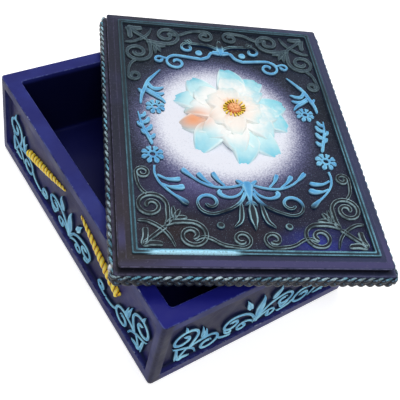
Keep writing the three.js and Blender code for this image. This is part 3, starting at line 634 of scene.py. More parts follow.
def make_lid_top(finish):
    """The smaller top panel, whose lip stands out over a groove. Its levels run in to the field."""
    foot = ((4, 1, -0.1), (1.2, 0.7, -0.1), (1.1, 0.7, 2.1), (0.8, 0.8, 2.35))
    # The foot and lower lip carry the groove value, which the lid's finish paints as shade
    rings = [(inset(TOP_HALF, pull), radius, TOP_BOTTOM + up, {"groove": 1.0}) for pull, radius, up in foot]
    rings += rounded_edge(TOP_HALF, 1.2, 0.3, -90, 0, TOP_BOTTOM + 2.7, edge=0.3, groove=0.5)[:-1]
    rings += rounded_edge(TOP_HALF, 1.2, 0.4, 0, 75, SHOULDER - 0.35, edge=1.0, corner=0.3)
    # These rings carry the shoulder's painted sheen, which the lid's finish lays on along the front
    band = {"band": 1.0}
    levels = [(0.75, 1.0, SHOULDER + 0.04, band)]
    levels += [(pull, 0.9, SHOULDER + 0.04 + 0.19 * (pull - 0.75), band) for pull in (1.3, 2.0, 2.7)]
    levels += [(3.05, 0.8, SHOULDER + 0.5, {"edge": 0.3, "band": 0.4})]
    levels += [(pull, 0.7, SHOULDER + up, {}) for pull, up in ((3.35, 0.45), (3.9, 0.5), (4.5, 0.6))]
    levels += [(MARGIN, 0.6, MARGIN_TOP, {}), (FRAME_INSET - 0.3, 0.8, MARGIN_TOP, {})]
    levels += [(FRAME_INSET, 0.6, MARGIN_TOP - 0.3, {"field": 0.5})]
    levels += [(FRAME_INSET + pull, 0.6, FIELD, {"field": 1.0}) for pull in (0.15, 3)]
    rings += [(inset(TOP_HALF, pull), *level) for pull, *level in levels]
    make_piece("lid_top_casting", [stack(rings)], LID, "lid", "plum_resin", finish, "lid_top_panel", sharp=50)


def make_frame(finish):
    """Two rounded rules with a groove between them. The profile is pull, height and place across."""
    profile = (
        (0.0, -0.2, 1.1), (0.0, 0.35, 0.95), (0.1, 0.8, 0.75), (0.35, 1.05, 0.5), (0.6, 0.8, 0.7),
        (0.75, 0.5, 0.2), (1.15, 0.42, 0.0), (1.55, 0.5, 0.2), (1.7, 0.8, 0.7), (1.95, 1.05, 0.5),
        (2.2, 0.8, 0.75), (2.3, 0.35, 0.95), (2.3, -0.2, 1.1),
    )
    outer = inset(TOP_HALF, MARGIN)
    rings = [(inset(outer, pull), 0.6, FRAME_FOOT + up, {}) for pull, up, _ in profile]
    points, faces, _ = stack(rings, closed=True)
    across = np.repeat([place for _, _, place in profile], len(points) // len(profile))
    wobble = 0.05 * np.sin(points[:, 1] * 0.9 + points[:, 0] * 1.3)
    points[:, 2] += wobble * (points[:, 2] > FRAME_FOOT + 0.3) - 0.05
    shell = (points, faces, {"across": across})
    make_piece("lid_double_rule", [shell], LID, "lid", "slate_paint", finish, "lid_frame")


def braid_path(samples, centre, radius):
    """Points round the board's edge, the outward direction at each, and how far round each lies, 0 to 1."""
    half = (centre, centre + BRAID_HALF[1] - BRAID_HALF[0])
    bend = radius - (BRAID_HALF[0] - centre) * 0.4
    straights = (half[0] - bend, half[1] - bend)
    corner = math.pi / 2 * bend
    perimeter = 4 * (straights[0] + straights[1] + corner)
    share = np.arange(samples) / samples
    path, outward = np.zeros((samples, 2)), np.zeros((samples, 2))
    start = 0.0
    for side in range(4):
        straight, out = straights[side % 2], half[1 - side % 2]
        passed = share * perimeter - start
        here = (passed >= 0) & (passed < 2 * straight + corner)
        passed = passed[here]
        angle = np.maximum(passed - 2 * straight, 0) / bend
        along = np.minimum(passed - straight, straight) + bend * np.sin(angle)
        path[here] = on_side(side, along, out - bend + bend * np.cos(angle))
        outward[here] = on_side(side, np.sin(angle), np.cos(angle))
        start += 2 * straight + corner
    return path, outward, share


def make_braid(finish):
    """Three flat strands that cross over and under each other all round the board's edge.

    They are given in the tray's frame, and the braid's finish is painted in that frame too.
    """
    repeats, sides = 46, 10
    strand, sway, weave = (0.62, 1.12), 1.75, 0.5
    samples = repeats * 24
    path, outward, share = braid_path(samples, BRAID_HALF[0] - strand[0] - weave - 0.05, 2.6)
    middle = (BOARD_BOTTOM + BOARD_TOP) / 2
    shells = []
    for index in range(3):
        phase = 2 * math.pi * (share * repeats + index / 3)
        up = sway * np.sin(phase) + 0.12 * np.sin(3.1 * phase + index)
        out = weave * np.sin(2 * phase)
        centre_line = np.column_stack((path + outward * out[:, None], middle + up))
        tangent = np.roll(centre_line, -1, 0) - np.roll(centre_line, 1, 0)
        tangent /= np.linalg.norm(tangent, axis=1)[:, None]
        level = np.column_stack((outward, np.zeros(samples)))
        level -= tangent * np.sum(level * tangent, 1)[:, None]
        level /= np.linalg.norm(level, axis=1)[:, None]
        upright = np.cross(tangent, level)
        girth = (0.96 + 0.06 * np.sin(5.3 * phase + index))[:, None]
        rings, crests = [], []
        for side in range(sides):
            turn = 2 * math.pi * side / sides
            thick = strand[0] * math.cos(turn) * girth
            wide = strand[1] * math.sin(turn) * girth
            rings.append(centre_line + thick * level + wide * upright)
            crests.append(out / weave * 0.5 + 0.5 * abs(math.sin(turn)) * (math.cos(turn) > -0.4))
        points = np.stack(rings, 1).reshape(-1, 3)
        top = (points[:, 2] - middle) / (sway + strand[1])
        placed = points @ np.array(LID.to_3x3()).T + np.array(LID.translation) / MM
        # top and crest mark where the braid's finish paints its highlight and glints
        values = {"top": top, "crest": np.stack(crests, 1).reshape(-1)}
        shells.append((placed, loft_faces(samples, sides, closed=True), values))
    make_piece("lid_braid", shells, Matrix(), "lid", "slate_paint", finish, "lid_braid_edging", sharp=80)


# Strokes of relief, drawn flat with x and y in millimetres
SECTION = (-1.08, -1.0, -0.9, -0.72, -0.45, -0.2, 0.2, 0.45, 0.72, 0.9, 1.0, 1.08)


def spline(outline, count=60):
    """Catmull-Rom curve through the points."""
    points = np.array(outline, float)
    last = len(points) - 1
    place = np.linspace(0, last, count)
    index = np.minimum(place.astype(int), last - 1)
    t = (place - index)[:, None]
    before, start = points[np.maximum(index - 1, 0)], points[index]
    end, after = points[index + 1], points[np.minimum(index + 2, last)]
    leave, arrive = (end - before) / 2, (after - start) / 2
    cubic = (2 * start - 2 * end + leave + arrive) * t**3
    return cubic + (-3 * start + 3 * end - 2 * leave - arrive) * t**2 + leave * t + start


def polar(centre, radius, angle):
    turn = np.radians(angle)
    return np.stack((centre[0] + radius * np.cos(turn), centre[1] + radius * np.sin(turn)), -1)


def blend(values, t):
    first = values[0] + (values[1] - values[0]) * t
    second = values[1] + (values[2] - values[1]) * t
    return first + (second - first) * t


def sweep(points, widths, high, channel):
    """A rounded ridge with a shallow channel along it, whose ends are round."""
    lengths = np.concatenate(([0], np.cumsum(np.linalg.norm(np.diff(points, axis=0), axis=1))))
    total = lengths[-1]
    first, last = max(widths[0] / 2, 0.12), max(widths[-1] / 2, 0.12)
    caps = np.array([0, 0.03, 0.13, 0.3, 0.6, 1.0])
    body = np.linspace(first, total - last, max(int(total / 0.55), 4))
    at = np.unique(np.concatenate((caps * first, body, total - caps * last)))
    x, y = (np.interp(at, lengths, points[:, axis]) for axis in (0, 1))
    half = np.interp(at, lengths, widths) / 2
    tangent = np.stack((np.gradient(x, at), np.gradient(y, at)), 1)
    tangent /= np.linalg.norm(tangent, axis=1)[:, None]
    start_cap = np.sqrt(np.clip(1 - (1 - np.clip(at / first, 0, 1)) ** 2, 0.0004, 1))
    end_cap = np.sqrt(np.clip(1 - (1 - np.clip((total - at) / last, 0, 1)) ** 2, 0.0004, 1))
    cap = start_cap * end_cap
    half = half * cap * (1 + 0.05 * np.sin(at * 0.9 + x * 0.7))
    crest = high * np.interp(at, lengths, 0.5 + 0.5 * np.minimum(widths / SCROLL, 1)) * (0.25 + 0.75 * cap)
    shape = np.array((-SUNK, 0.2, 0.72, 1.0, 1 - channel * 0.7, 1 - channel))
    shape = np.concatenate((shape, shape[::-1]))
    count = len(SECTION)
    rows = np.zeros((len(at), count, 3))
    across = np.array(SECTION)
    rows[:, :, 0] = x[:, None] - tangent[:, 1:] * half[:, None] * across
    rows[:, :, 1] = y[:, None] + tangent[:, :1] * half[:, None] * across
    rows[:, :, 2] = np.where(shape < 0, -SUNK, crest[:, None] * shape)
    values = np.broadcast_to(np.abs(across), (len(at), count)).reshape(-1)
    faces = [tuple(reversed(face)) for face in loft_faces(len(at), count)]
    return rows.reshape(-1, 3), faces, {"across": values}


class Drawing:
    """Gathers the strokes of one ornament. place scales and shifts its points, and side -1 mirrors them."""

    def __init__(self, relief, place=(1, 1, 0, 0), channel=0.4, broad=1.0):
        self.relief = relief
        self.place = np.array(place, float)
        self.channel = channel
        self.broad = broad
        self.side = 1
        self.shells = []

    def put(self, points):
        return np.asarray(points, float) * (self.side, 1) * self.place[:2] + self.place[2:]

    def ridge(self, points, widths, fullness=1.0):
        widths = self.broad * np.asarray(widths, float)
        self.shells.append(sweep(self.put(points), widths, self.relief * fullness, self.channel))

    def stroke(self, outline, widths):
        points = spline(outline)
        self.ridge(points, blend(widths, np.linspace(0, 1, len(points))))

    def scroll(self, start_at, leave, centre, radius, start, sweep_angle, width=SCROLL):
        """A lead-in that leaves a point at an angle and runs on into a spiral that ends in an eye."""
        meet = polar(centre, radius, start)
        away = np.array(start_at, float)
        pull = 0.4 * np.linalg.norm(meet - away)
        reach = polar(start_at, pull, leave)
        arrive = polar(meet, pull, start - 90 * math.copysign(1, sweep_angle))
        t = np.linspace(0, 1, 20)[:, None]
        lead = (1 - t) ** 3 * away + 3 * (1 - t) ** 2 * t * reach + 3 * (1 - t) * t**2 * arrive + t**3 * meet
        turns = np.linspace(0, 1, 60)
        spiral = polar(centre, radius + (EYE - radius) * turns, start + sweep_angle * turns)
        points = np.concatenate((lead, spiral[1:]))
        self.ridge(points, blend((width, TWIG, SCROLL), np.linspace(0, 1, len(points))))

    def leaf(self, base, angle, length, width, fullness=1.1):
        t = np.linspace(0, 1, 24)
        self.ridge(polar(base, length * t, angle), TIP + (width - TIP) * np.sin(np.pi * t**0.8), fullness)

    def drop(self, outline, bulb):
        """A twig that swells into a drop over its last few millimetres."""
        points = spline(outline)
        steps = np.linalg.norm(np.diff(points, axis=0), axis=1)
        left = steps.sum() - np.concatenate(([0], np.cumsum(steps)))
        swell = (0.4 * bulb, 0.8 * bulb, bulb, 0.85 * bulb, TWIG)
        self.ridge(points, np.interp(left, (0, 0.5, 1.5, 3.0, 6.5), swell))

    def bead(self, centre, radius):
        self.shells.append(dome(self.put(centre), radius, self.relief))


def dome(centre, radius, high, sides=20):
    profile = [(1.02, -SUNK), (1.0, 0.1), (0.9, 0.55), (0.7, 0.85), (0.4, 1.0), (0.12, 1.03)]
    turns = 2 * np.pi * np.arange(sides) / sides
    points = []
    for out, up in profile:
        height = up if up < 0 else up * high
        circle = polar(centre, radius * out, np.degrees(turns))
        points.append(np.column_stack((circle, np.full(sides, height))))
    across = np.repeat([1.05, 1.0, 0.85, 0.6, 0.3, 0.1], sides)
    return np.concatenate(points), loft_faces(len(profile), sides), {"across": across}


def draw_panel_corner(pen, reach, curled):
    pen.stroke([[3.8, 13.2], [6.3, 11.8], [10.3, 10], [13.8, 7.4], [15.8, 4], [16.8, 0.9]], [TIP, BROAD, TIP])
    pen.stroke([[5.6, 11.6], [6.2, 6], [7.2, 1.4]], [TWIG, BROAD, BARB])
    pen.stroke([[7, 1.5], [10, 3], [13.8, 1.3]], [BARB, BARB, TIP])
    pen.stroke([[7.2, 2], [9.2, 6], [11.2, 9.6]], [TWIG, TWIG, TWIG])
    pen.scroll((12.2, 9), 72, (8, 18.8), 7, -10, 470, PANEL_STROKE)
    pen.scroll((12, 9.2), 30, (22, 5.6), 6.2, 100, -450, PANEL_STROKE)
    pen.leaf((8.2, 24), 96, 3.8, SCROLL)
    for angle, length in ((98, 10.2), (82, 7), (45, 3.4)):
        pen.leaf((18.4, 11.2), angle, length, BROAD)
    pen.stroke([[27.2, 5.6], [29.4, 3.2], [33.2, 1.8], [reach, 1.5]], [TWIG, PANEL_STROKE, TWIG])
    if curled:
        pen.scroll((reach, 1.5), -3, (reach + 4, 4.9), 3, -90, 400, TWIG)


def draw_panel_centre(pen):
    pen.stroke([[0, 1], [0, 9]], [2 * PANEL_STROKE, BARB, BARB])
    pen.leaf((0, 6.5), 90, 16.2, BLADE)
    for side in (1, -1):
        pen.side = side
        pen.scroll((0.8, 5), 68, (14.3, 10.8), 5.2, 95, -430, PANEL_STROKE)
        pen.scroll((0.8, 2.8), 50, (7.8, 4.1), 2.8, 70, -330, TWIG)
        pen.stroke([[17.8, 7.8], [16.8, 5.2], [14.8, 4.3], [13.6, 5.4]], [TWIG, TWIG, SCROLL])


def draw_bud(pen):
    pen.leaf((5.9, 16.4), 67, 8.6, 3.2)


def wall_place(facing, out):
    """Stands a drawing against a wall: x runs right as seen from outside, y up and z outwards."""
    turn = Matrix.Rotation(math.radians(facing), 4, "Z")
    move = Matrix.Translation((0, (RECESS - out) * MM, (LEDGE + LEDGE_SLOPE) * MM))
    return turn @ move @ Matrix.Rotation(math.pi / 2, 4, "X")


def make_relief(node, setting, layout, draw, *details):
    """One ornament. setting is its place, body, slot and finish, and layout starts its Drawing. The slot is
    not used.
    """
    pen = Drawing(*layout)
    draw(pen, *details)
    make_piece(node + "_relief", pen.shells, *setting, node)


# A wall's distance out, half its floor's length, slide, corner flatness, middle's scale and stem's reach
SHORT_WALL = (TRAY_HALF[1], SHORT_HALF, 0, 1.0, (1, 1), 35.6)
LONG_WALL = (TRAY_HALF[0], LONG_HALF, -2.5, 0.94, (1.05, 0.82), 36.6)

# Each wall's name, the way it faces in degrees from the front, and the names of its two ends
WALLS = (
    ("front", 0, ("left", "right"), SHORT_WALL),
    ("right", 90, ("front", "back"), LONG_WALL),
    ("back", 180, ("right", "left"), SHORT_WALL),
    ("left", 270, ("back", "front"), LONG_WALL),
)

# A spire's two ends on its panel, its radii there, and the turns between
SPIRE_LINE = ((44.6, 14.6), (7.4, 25.8))
SPIRE_RADII = (1.9, 0.5)
SPIRE_TURNS = 7


def spire_shell(base, tip):
    """Two strands twisted into a tapering cord between two points of a panel, its back flat on it."""
    sides, steps = 36, 230
    line = np.subtract(tip, base)
    length = np.linalg.norm(line)
    s = np.linspace(0, 1, steps)
    cap = np.sqrt(np.clip(1 - (1 - np.clip(s * length / 0.9, 0, 1)) ** 2, 0.02, 1))
    point = np.sqrt(np.clip(1 - (1 - np.clip((1 - s) * length / 1.6, 0, 1)) ** 2, 0.02, 1))
    taper = SPIRE_RADII[0] + (SPIRE_RADII[1] - SPIRE_RADII[0]) * s**2
    radius = taper * cap * point * (1 + 0.03 * np.sin(s * 47))
    turns = 2 * np.pi * np.arange(sides) / sides
    twist = 2 * np.pi * SPIRE_TURNS * s + 0.25 * np.sin(s * 23)
    lobe = np.abs(np.cos(turns[None, :] - twist[:, None])) ** 0.7
    reach = radius[:, None] * (0.66 + 0.34 * lobe)
    points = np.zeros((steps, sides, 3))
    points[:, :, 0] = (s * length)[:, None]
    points[:, :, 1] = reach * np.cos(turns)
    points[:, :, 2] = np.maximum(reach * np.sin(turns) + 0.4 * radius[:, None], -0.2)
    placed = rotated(points.reshape(-1, 3), math.degrees(math.atan2(line[1], line[0]))) + (*base, 0)
    faces = [tuple(reversed(face)) for face in loft_faces(steps, sides)]
    # crest is 1 on the strands' middles, where the gold finish paints its highlight, and low in the grooves,
    # where it paints shade
    return placed, faces, {"crest": lobe.reshape(-1)}


def make_panels(sky, gold):
    for name, facing, ends, (out, half, slide, flat, middle, reach) in WALLS:
        place = wall_place(facing, out)
        setting = (place, "tray", "sky_paint", sky)
        is_long = half == LONG_HALF
        for side, end in zip((-1, 1), ends):
            layout = (PANEL_RELIEF, (-side, flat, side * half, 0), PANEL_CHANNEL, PANEL_BROAD)
            make_relief(f"{name}_panel_{end}_scroll", setting, layout, draw_panel_corner, reach, is_long)
            layout = (PANEL_RELIEF, (side * middle[0], middle[1], slide, 0), BUD_CHANNEL, PANEL_BROAD)
            make_relief(f"{name}_panel_{end}_bud", setting, layout, draw_bud)
            if is_long:
                base, tip = ((slide + side * along, up) for along, up in SPIRE_LINE)
                node = f"{name}_{end}_spire"
                spire = [spire_shell(base, tip)]
                make_piece(node + "_cord", spire, place, "tray", "gold_paint", gold, node, sharp=70)
        layout = (PANEL_RELIEF, (*middle, slide, 0), PANEL_CHANNEL, PANEL_BROAD)
        make_relief(f"{name}_panel_centre_scroll", setting, layout, draw_panel_centre)


def draw_lid_corner(pen):
    pen.stroke([[0.6, 14.2], [4.5, 13.8], [9.2, 10.8], [12.6, 6.6], [14.4, 1.8]], [TIP, BROAD, TIP])
    pen.stroke([[2.2, 2.6], [6.4, 6.6], [11.6, 11.4]], [SCROLL, TWIG, SCROLL])
    pen.stroke([[2, 2.2], [3.2, 6], [3.4, 10.6]], [SCROLL, BARB, BROAD])
    pen.stroke([[2, 2.2], [6, 3.1], [9.8, 2.7]], [SCROLL, BARB, SCROLL])
    pen.scroll((11.6, 11.6), 65, (6.2, 21.7), 6.7, -5, 560)
    pen.scroll((11.2, 12.2), 25, (21.4, 7.2), 6.5, 85, -520)
    pen.scroll((5.4, 27.4), 140, (4, 39.2), 2.9, 185, -420, TWIG)
    pen.stroke([[22.4, 4.9], [25.4, 6.3], [28.2, 5.9], [30.8, 4.3]], [TWIG, TWIG, TWIG])
    pen.scroll((30.4, 4.6), -40, (40.9, 5.6), 4.2, -100, 430, TWIG)
    pen.stroke([[12.2, 13], [14.8, 15.6]], [SCROLL, TWIG, TWIG])
    pen.leaf((15, 15.2), 90, 6.4, SCROLL)
    pen.leaf((15, 15.2), 60, 5.4, BROAD)
    pen.leaf((15, 15.2), 8, 5.4, BROAD)


def draw_front_ornament(pen):
    pen.stroke([[0, -33.2], [0, -38], [0, -42.5]], [CROWN, BLADE, BARB])
    pen.stroke([[0, -41], [0, -46.8]], [BARB, SCROLL, SCROLL])
    pen.leaf((0, -45.8), -90, 13.6, BLADE)
    for side in (1, -1):
        pen.side = side
        pen.leaf((1.2, -36), 42, 4.6, BROAD)
        pen.leaf((0, -45), -35, 3.2, SCROLL)
        pen.scroll((1.6, -39.6), -75, (17.3, -45.9), 6, -108, 460)
        pen.drop([[1.5, -35.4], [8, -37.2], [14, -37.2], [19, -35.2], [23, -32], [27, -27.6]], 2.6)
        pen.drop([[14.5, -36.6], [18, -33.4], [20.5, -29.6]], 2.6)
        pen.drop([[9.5, -36.6], [12.4, -33], [14.1, -29]], BARB)
        pen.drop([[2, -37.6], [4, -40.8], [7.4, -42.6], [10.8, -42.2], [12.6, -40.4], [11.6, -38.9]], BARB)
        pen.stroke([[4.2, -45.6], [4.8, -51.4], [5.8, -55.4], [8.6, -58.2]], [TWIG, BLADE, TIP])


def draw_back_ornament(pen):
    pen.leaf((0, 50), 90, 11.2, BLADE, 1.2)
    for side in (1, -1):
        pen.side = side
        pen.stroke([[0, 51.2], [4.6, 51.6]], [BLADE, BARB, BROAD])
        pen.scroll((1.4, 54.2), 40, (16.4, 54), 3.4, 95, -340)
        pen.leaf((14.2, 57), 75, 4.4, BROAD)
        pen.leaf((14.2, 57), 40, 4.4, BROAD)
        pen.stroke([[4, 51.6], [5.4, 50.2], [7, 47.4], [10.6, 45.6]], [SCROLL, SCROLL, SCROLL])
        pen.scroll((10.2, 45.7), 5, (22.9, 41.9), 5.4, 95, -430)
        pen.scroll((26.6, 44.2), 30, (31, 43.6), 2.2, 120, -330, TWIG)


def draw_lower_spray(pen):
    pen.drop([[38.2, -26], [38.4, -30.6], [36.8, -35.6], [33.2, -40.2], [29.4, -43.8], [26, -47.2]], 2.8)
    pen.drop([[37.6, -31.4], [34, -33.6], [30.6, -34], [27.8, -33.4]], BARB)
    pen.drop([[36.2, -36.4], [32.6, -38], [29.4, -38.3], [26.6, -37.4]], 3)


def draw_leaf_chain(pen):
    pen.stroke([[38.2, -14], [39.6, -9.4], [41.2, -4.6], [42.4, 0.4], [43.2, 6.2]], [SCROLL, BROAD, TIP])
    inner = (
        ([[39.2, -10.2], [37.6, -9.4], [36.6, -7.4]], 3.2), ([[40.9, -5.8], [38.8, -4.6], [37.6, -1.8]], 3.8),
        ([[41.9, -1.2], [39.6, 0], [38.6, 2.8]], 3.8), ([[42.7, 2.6], [40.8, 3.6], [40, 6.2]], 3.2),
    )
    outer = (([[40, -8], [41.6, -7], [42.4, -4.8]], 2.6), ([[41.4, -3.4], [43.2, -2.2], [43.8, 0]], 2.6))
    for outline, width in inner + outer:
        pen.stroke(outline, [TWIG, width, TIP])


def draw_upper_spray(pen):
    stem = [[31, 36], [34.6, 31], [37.6, 26.6], [39.4, 21.4], [41, 16.6], [41.6, 11.6]]
    pen.stroke(stem, [TIP, 3.2, TWIG])
    pen.stroke([[38, 26.4], [36, 22.4], [33.2, 21.8], [30.4, 23.4]], [TWIG, 3.5, TIP])
    pen.stroke([[38.8, 21.8], [35.6, 18.8], [32.6, 18.2], [30.4, 19.4]], [TWIG, 3.5, TIP])
    pen.stroke([[38.8, 20.2], [35, 17.4], [32.2, 15.2], [30.4, 12.8]], [TWIG, 3.3, TIP])
    pen.leaf((40.4, 18), 60, 4, SCROLL)


def draw_rosette(pen, centre, radius):
    """Eight round petals about a hole."""
    for petal in range(8):
        t = np.linspace(0, 1, 16)
        points = polar(centre, radius * (0.26 + 0.7 * t), 45 * petal + 22.5)
        pen.ridge(points, radius * np.interp(t, (0, 0.3, 0.7, 1), (0.2, 0.2, 0.56, 0.6)))
    ring_points = polar(centre, radius * 0.32, np.linspace(0, 400, 40))
    pen.ridge(ring_points, np.full(40, radius * 0.2), 0.9)


def make_ornaments(slate, sky):
    scrolls, wreath = (LID_FIELD, "lid", "slate_paint", slate), (LID_FIELD, "lid", "sky_paint", sky)
    for end, side_y in (("front", -1), ("back", 1)):
        for name, side_x in SIDES:
            place = (-side_x, -side_y * FIELD_FIT, side_x * FIELD_HALF[0], side_y * FIELD_HALF[1])
            layout = (LID_RELIEF, place, CORNER_CHANNEL, LID_BROAD)
            make_relief(f"lid_{end}_{name}_scroll", scrolls, layout, draw_lid_corner)
    layout = (LID_RELIEF, (1, FIELD_FIT, 0, 0), WREATH_CHANNEL)
    make_relief("lid_front_centre_scroll", wreath, layout, draw_front_ornament)
    make_relief("lid_back_centre_scroll", wreath, layout, draw_back_ornament)
    beads = (("front", (14.1, -57.4), 1.8), ("back", (10.9, 50.8), 1.9))
    rosettes = (("front", (38.5, -19.9), 5.2), ("back", (35.2, 10), 4.7))
    sprays = (
        ("lower_spray", draw_lower_spray),
        ("leaf_chain", draw_leaf_chain),
        ("upper_spray", draw_upper_spray),
    )
    for name, side in SIDES:
        place = (side, FIELD_FIT, 0, 0)
        for end, centre, radius in beads:
            make_relief(f"lid_{end}_{name}_bead", wreath, (LID_RELIEF, place), Drawing.bead, centre, radius)
        for end, centre, radius in rosettes:
            layout = (LID_RELIEF, place, ROSETTE_CHANNEL)
            make_relief(f"lid_{end}_{name}_rosette", wreath, layout, draw_rosette, centre, radius)
        for part, draw in sprays:
            make_relief(f"lid_{name}_{part}", wreath, (LID_RELIEF, place, WREATH_CHANNEL), draw)


# Blossom. A ring's name, slot, count, petals' start, reach, width and base, and its turn in petals
BLOSSOM_Y = 7.86
OVAL = (29.0, 34.0)
PETAL_RISE = 2.3
HEART_FOOT = 3.9
PETAL_RINGS = (
    ("outer", "cyan_paint", 10, 8.0, 1.0, 13.5, 0.0, 0.5),
    ("middle", "white_paint", 8, 6.0, 0.78, 13.0, 1.3, 0.0),
    ("inner", "white_paint", 6, 2.2, 0.52, 11.0, 2.6, 0.5),
)


def petal(angle, start, tip, width, base, curl):
    """One cupped petal with raised edges and fine strands along it."""
    rows, columns = 26, 15
    t = np.linspace(0, 1, rows)[:, None]
    v = np.linspace(-1, 1, columns)[None, :]
    swell = np.sin(np.pi * t**0.8 * 0.97 + 0.06) ** 0.75
    bow = curl * 0.12 * (tip - start) * np.sin(np.pi * t)
    x = start + (tip - start) * t + 0 * v
    y = width / 2 * swell * v + bow
    rise = PETAL_RISE * (0.35 + 0.65 * np.sin(np.pi * np.clip(t * 0.85 + 0.1, 0, 1)))
    strands = 0.16 * np.sin(v * 9 + 3 * t + angle) * np.sin(np.pi * t) ** 0.5
    z = base + rise * (0.72 + 0.28 * v**2) + strands - 0.9 * PETAL_RISE * t**6
    z = np.where(np.abs(v) > 0.99, z - 0.5, z)
    top = np.stack((x, y, z), -1)
    foot = np.stack((x, y, np.minimum(base - 0.3, z - 0.3)), -1)
    points = rotated(np.concatenate((top.reshape(-1, 3), foot.reshape(-1, 3))), angle)
    size = rows * columns
    index = np.arange(size).reshape(rows, columns)
    quads = np.stack((index[:-1, :-1], index[1:, :-1], index[1:, 1:], index[:-1, 1:]), -1).reshape(-1, 4)
    rim = np.concatenate((index[:, 0], index[-1, 1:], index[-2::-1, -1], index[0, -2:0:-1]))
    wall = np.stack((rim, size + rim, size + np.roll(rim, -1), np.roll(rim, -1)), 1)
    faces = np.stack((quads, size + quads[:, ::-1]), 1).reshape(-1, 4).tolist() + wall.tolist()
    values = {"along": t, "side": np.abs(v)}
    for key, value in values.items():
        values[key] = np.tile(np.broadcast_to(value, (rows, columns)).reshape(-1), 2)
    return points, faces, values


def lifted(shell, up):
    points, faces, values = shell
    return points + (0, 0, up), faces, values


def make_blossom(finishes, gold, peach):
    place = LID_FIELD @ Matrix.Translation((0, BLOSSOM_Y * MM, 0))
    for (name, slot, count, start, reach, width, base, offset), finish in zip(PETAL_RINGS, finishes):
        shells = []
        for index in range(count):
            angle = 360 * (index + offset) / count
            turn = math.radians(angle)
            oval = OVAL[0] * OVAL[1] / math.hypot(OVAL[1] * math.cos(turn), OVAL[0] * math.sin(turn))
            tip = oval * reach * (1 - 0.04 * (index % 2)) - 0.2
            shells.append(petal(angle, start, tip, width, base, 1.0 if index % 2 else -0.6))
        node = f"blossom_{name}_petals"
        make_piece(node + "_relief", shells, place, "lid", slot, finish, node, sharp=60)

    shells = []
    t = np.linspace(0, 1, 14)
    widths = np.interp(t, (0, 0.55, 0.75, 1), (0.5, 0.45, 1.15, 1.0))
    for index in range(18):
        length = 2.1 + 0.5 * math.sin(7 * index)
        line = polar((0, 0), 3.3 + length * t, 20 * index + 3 * math.sin(5 * index) + 6 * t)
        points, faces, values = lifted(sweep(line, widths, 1.35, 0.05), HEART_FOOT)
        # crest is highest along the stamens' middles, where the gold finish paints its highlight
        shells.append((points, faces, {"crest": np.clip(1.3 - values["across"], 0, 1)}))
    make_piece("blossom_stamen_ring", shells, place, "lid", "gold_paint", gold, "blossom_stamens")
    shells = []
    for index in range(19):
        spot = polar((0, 0), 0.62 * math.sqrt(index), 137.5 * index)
        shells.append(lifted(dome(spot, 0.82, 1.25 - 0.055 * index, 12), HEART_FOOT + 0.85 - 0.05 * index))
    shells.append(lifted(dome((0, 0), 3.2, 1.3, 28), HEART_FOOT))
    make_piece("blossom_heart_button", shells, place, "lid", "peach_paint", peach, "blossom_heart")


# Floor, background and light
def ray_seen(tree):
    """1 for the rays that reach the camera straight, off a gloss or through glass, and 0 for the others."""
    path = tree.nodes.new("ShaderNodeLightPath")
    seen = path.outputs["Is Camera Ray"]
    for name in ("Is Glossy Ray", "Is Transmission Ray"):
        either = tree.nodes.new("ShaderNodeMath")
        either.operation = "MAXIMUM"
        tree.links.new(seen, either.inputs[0])
        tree.links.new(path.outputs[name], either.inputs[1])
        seen = either.outputs[0]
    return seen


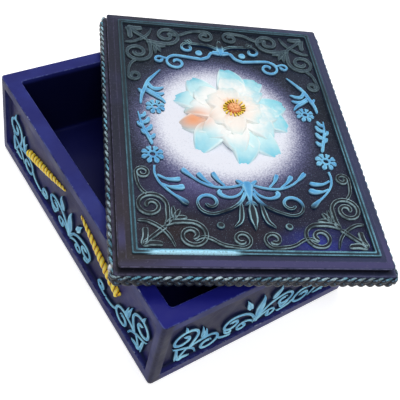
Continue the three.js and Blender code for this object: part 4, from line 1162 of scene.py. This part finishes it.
def make_stage():
    bpy.ops.mesh.primitive_plane_add(size=6, location=(0, 0, 0))
    floor = bpy.context.object
    floor.name = "floor"
    skin = Finish("floor_white", 0.9, 0.1)
    skin.colour((0.86, 0.86, 0.87, 1))
    skin.shader.inputs["Emission Color"].default_value = (1, 1, 1, 1)
    skin.put(skin.shader.inputs["Emission Strength"], skin.times(ray_seen(skin.tree), 0.52))
    floor.data.materials.append(skin.material)

    world = bpy.data.worlds.new("studio")
    bpy.context.scene.world = world
    world.use_nodes = True
    tree = world.node_tree
    background = tree.nodes["Background"]
    background.inputs["Color"].default_value = (1, 1, 1, 1)
    strength = tree.nodes.new("ShaderNodeMapRange")
    strength.inputs["To Min"].default_value = 0.3
    strength.inputs["To Max"].default_value = 1.0
    tree.links.new(ray_seen(tree), strength.inputs["Value"])
    tree.links.new(strength.outputs[0], background.inputs["Strength"])


def make_lamp(name, place, target, size, power):
    data = bpy.data.lights.new(name, "AREA")
    data.shape = "SQUARE"
    data.size = size
    data.energy = power
    lamp = bpy.data.objects.new(name, data)
    bpy.context.scene.collection.objects.link(lamp)
    lamp.location = place
    lamp.rotation_euler = (Vector(target) - Vector(place)).to_track_quat("-Z", "Y").to_euler()


def make_lamps():
    middle = (0.02, -0.01, 0.04)
    make_lamp("key", (-0.35, -0.55, 0.9), middle, 0.5, 4.6)
    make_lamp("fill", (0.8, -0.4, 0.6), middle, 0.8, 1.8)
    make_lamp("top", (0.1, 0.35, 1.0), middle, 0.6, 4.4)


make_camera()
tray_finish = make_tray_finish()
lid_finish = make_lid_finish()
slate_finish = make_dry_brushed("slate_paint", paint(20, 25, 32), paint(176, 208, 218), 0.7, 0.9, 1.12)
rule_finish = make_dry_brushed("rule_paint", paint(30, 40, 48), paint(124, 182, 206), 0.45, 0.72, 0.95, True)
sky_finish = make_sky_finish(
    "sky_paint", paint(124, 196, 232), paint(86, 160, 212), paint(22, 40, 70), fading=True
)
panel_finish = make_sky_finish(
    "panel_sky_paint", paint(154, 216, 240), paint(100, 172, 214), paint(12, 26, 56), 0.78
)
gold_finish = make_gold_finish()
peach_finish = make_peach_finish()
petal_finishes = (
    make_petal_finish("cyan_petal_paint", paint(235, 244, 244), paint(206, 238, 242), paint(112, 200, 224)),
    make_petal_finish("white_petal_paint", paint(242, 222, 204), paint(244, 246, 244), paint(176, 226, 236)),
    make_petal_finish("inner_petal_paint", paint(240, 178, 128), paint(248, 240, 232), paint(216, 240, 242)),
)
make_tray(tray_finish)
make_felt(make_felt_finish())
make_lid_board(lid_finish)
make_lid_top(lid_finish)
make_frame(rule_finish)
make_braid(make_braid_finish())
make_panels(panel_finish, gold_finish)
make_ornaments(slate_finish, sky_finish)
make_blossom(petal_finishes, gold_finish, peach_finish)
make_stage()
make_lamps()

scene = bpy.context.scene
scene.view_settings.view_transform = "Standard"
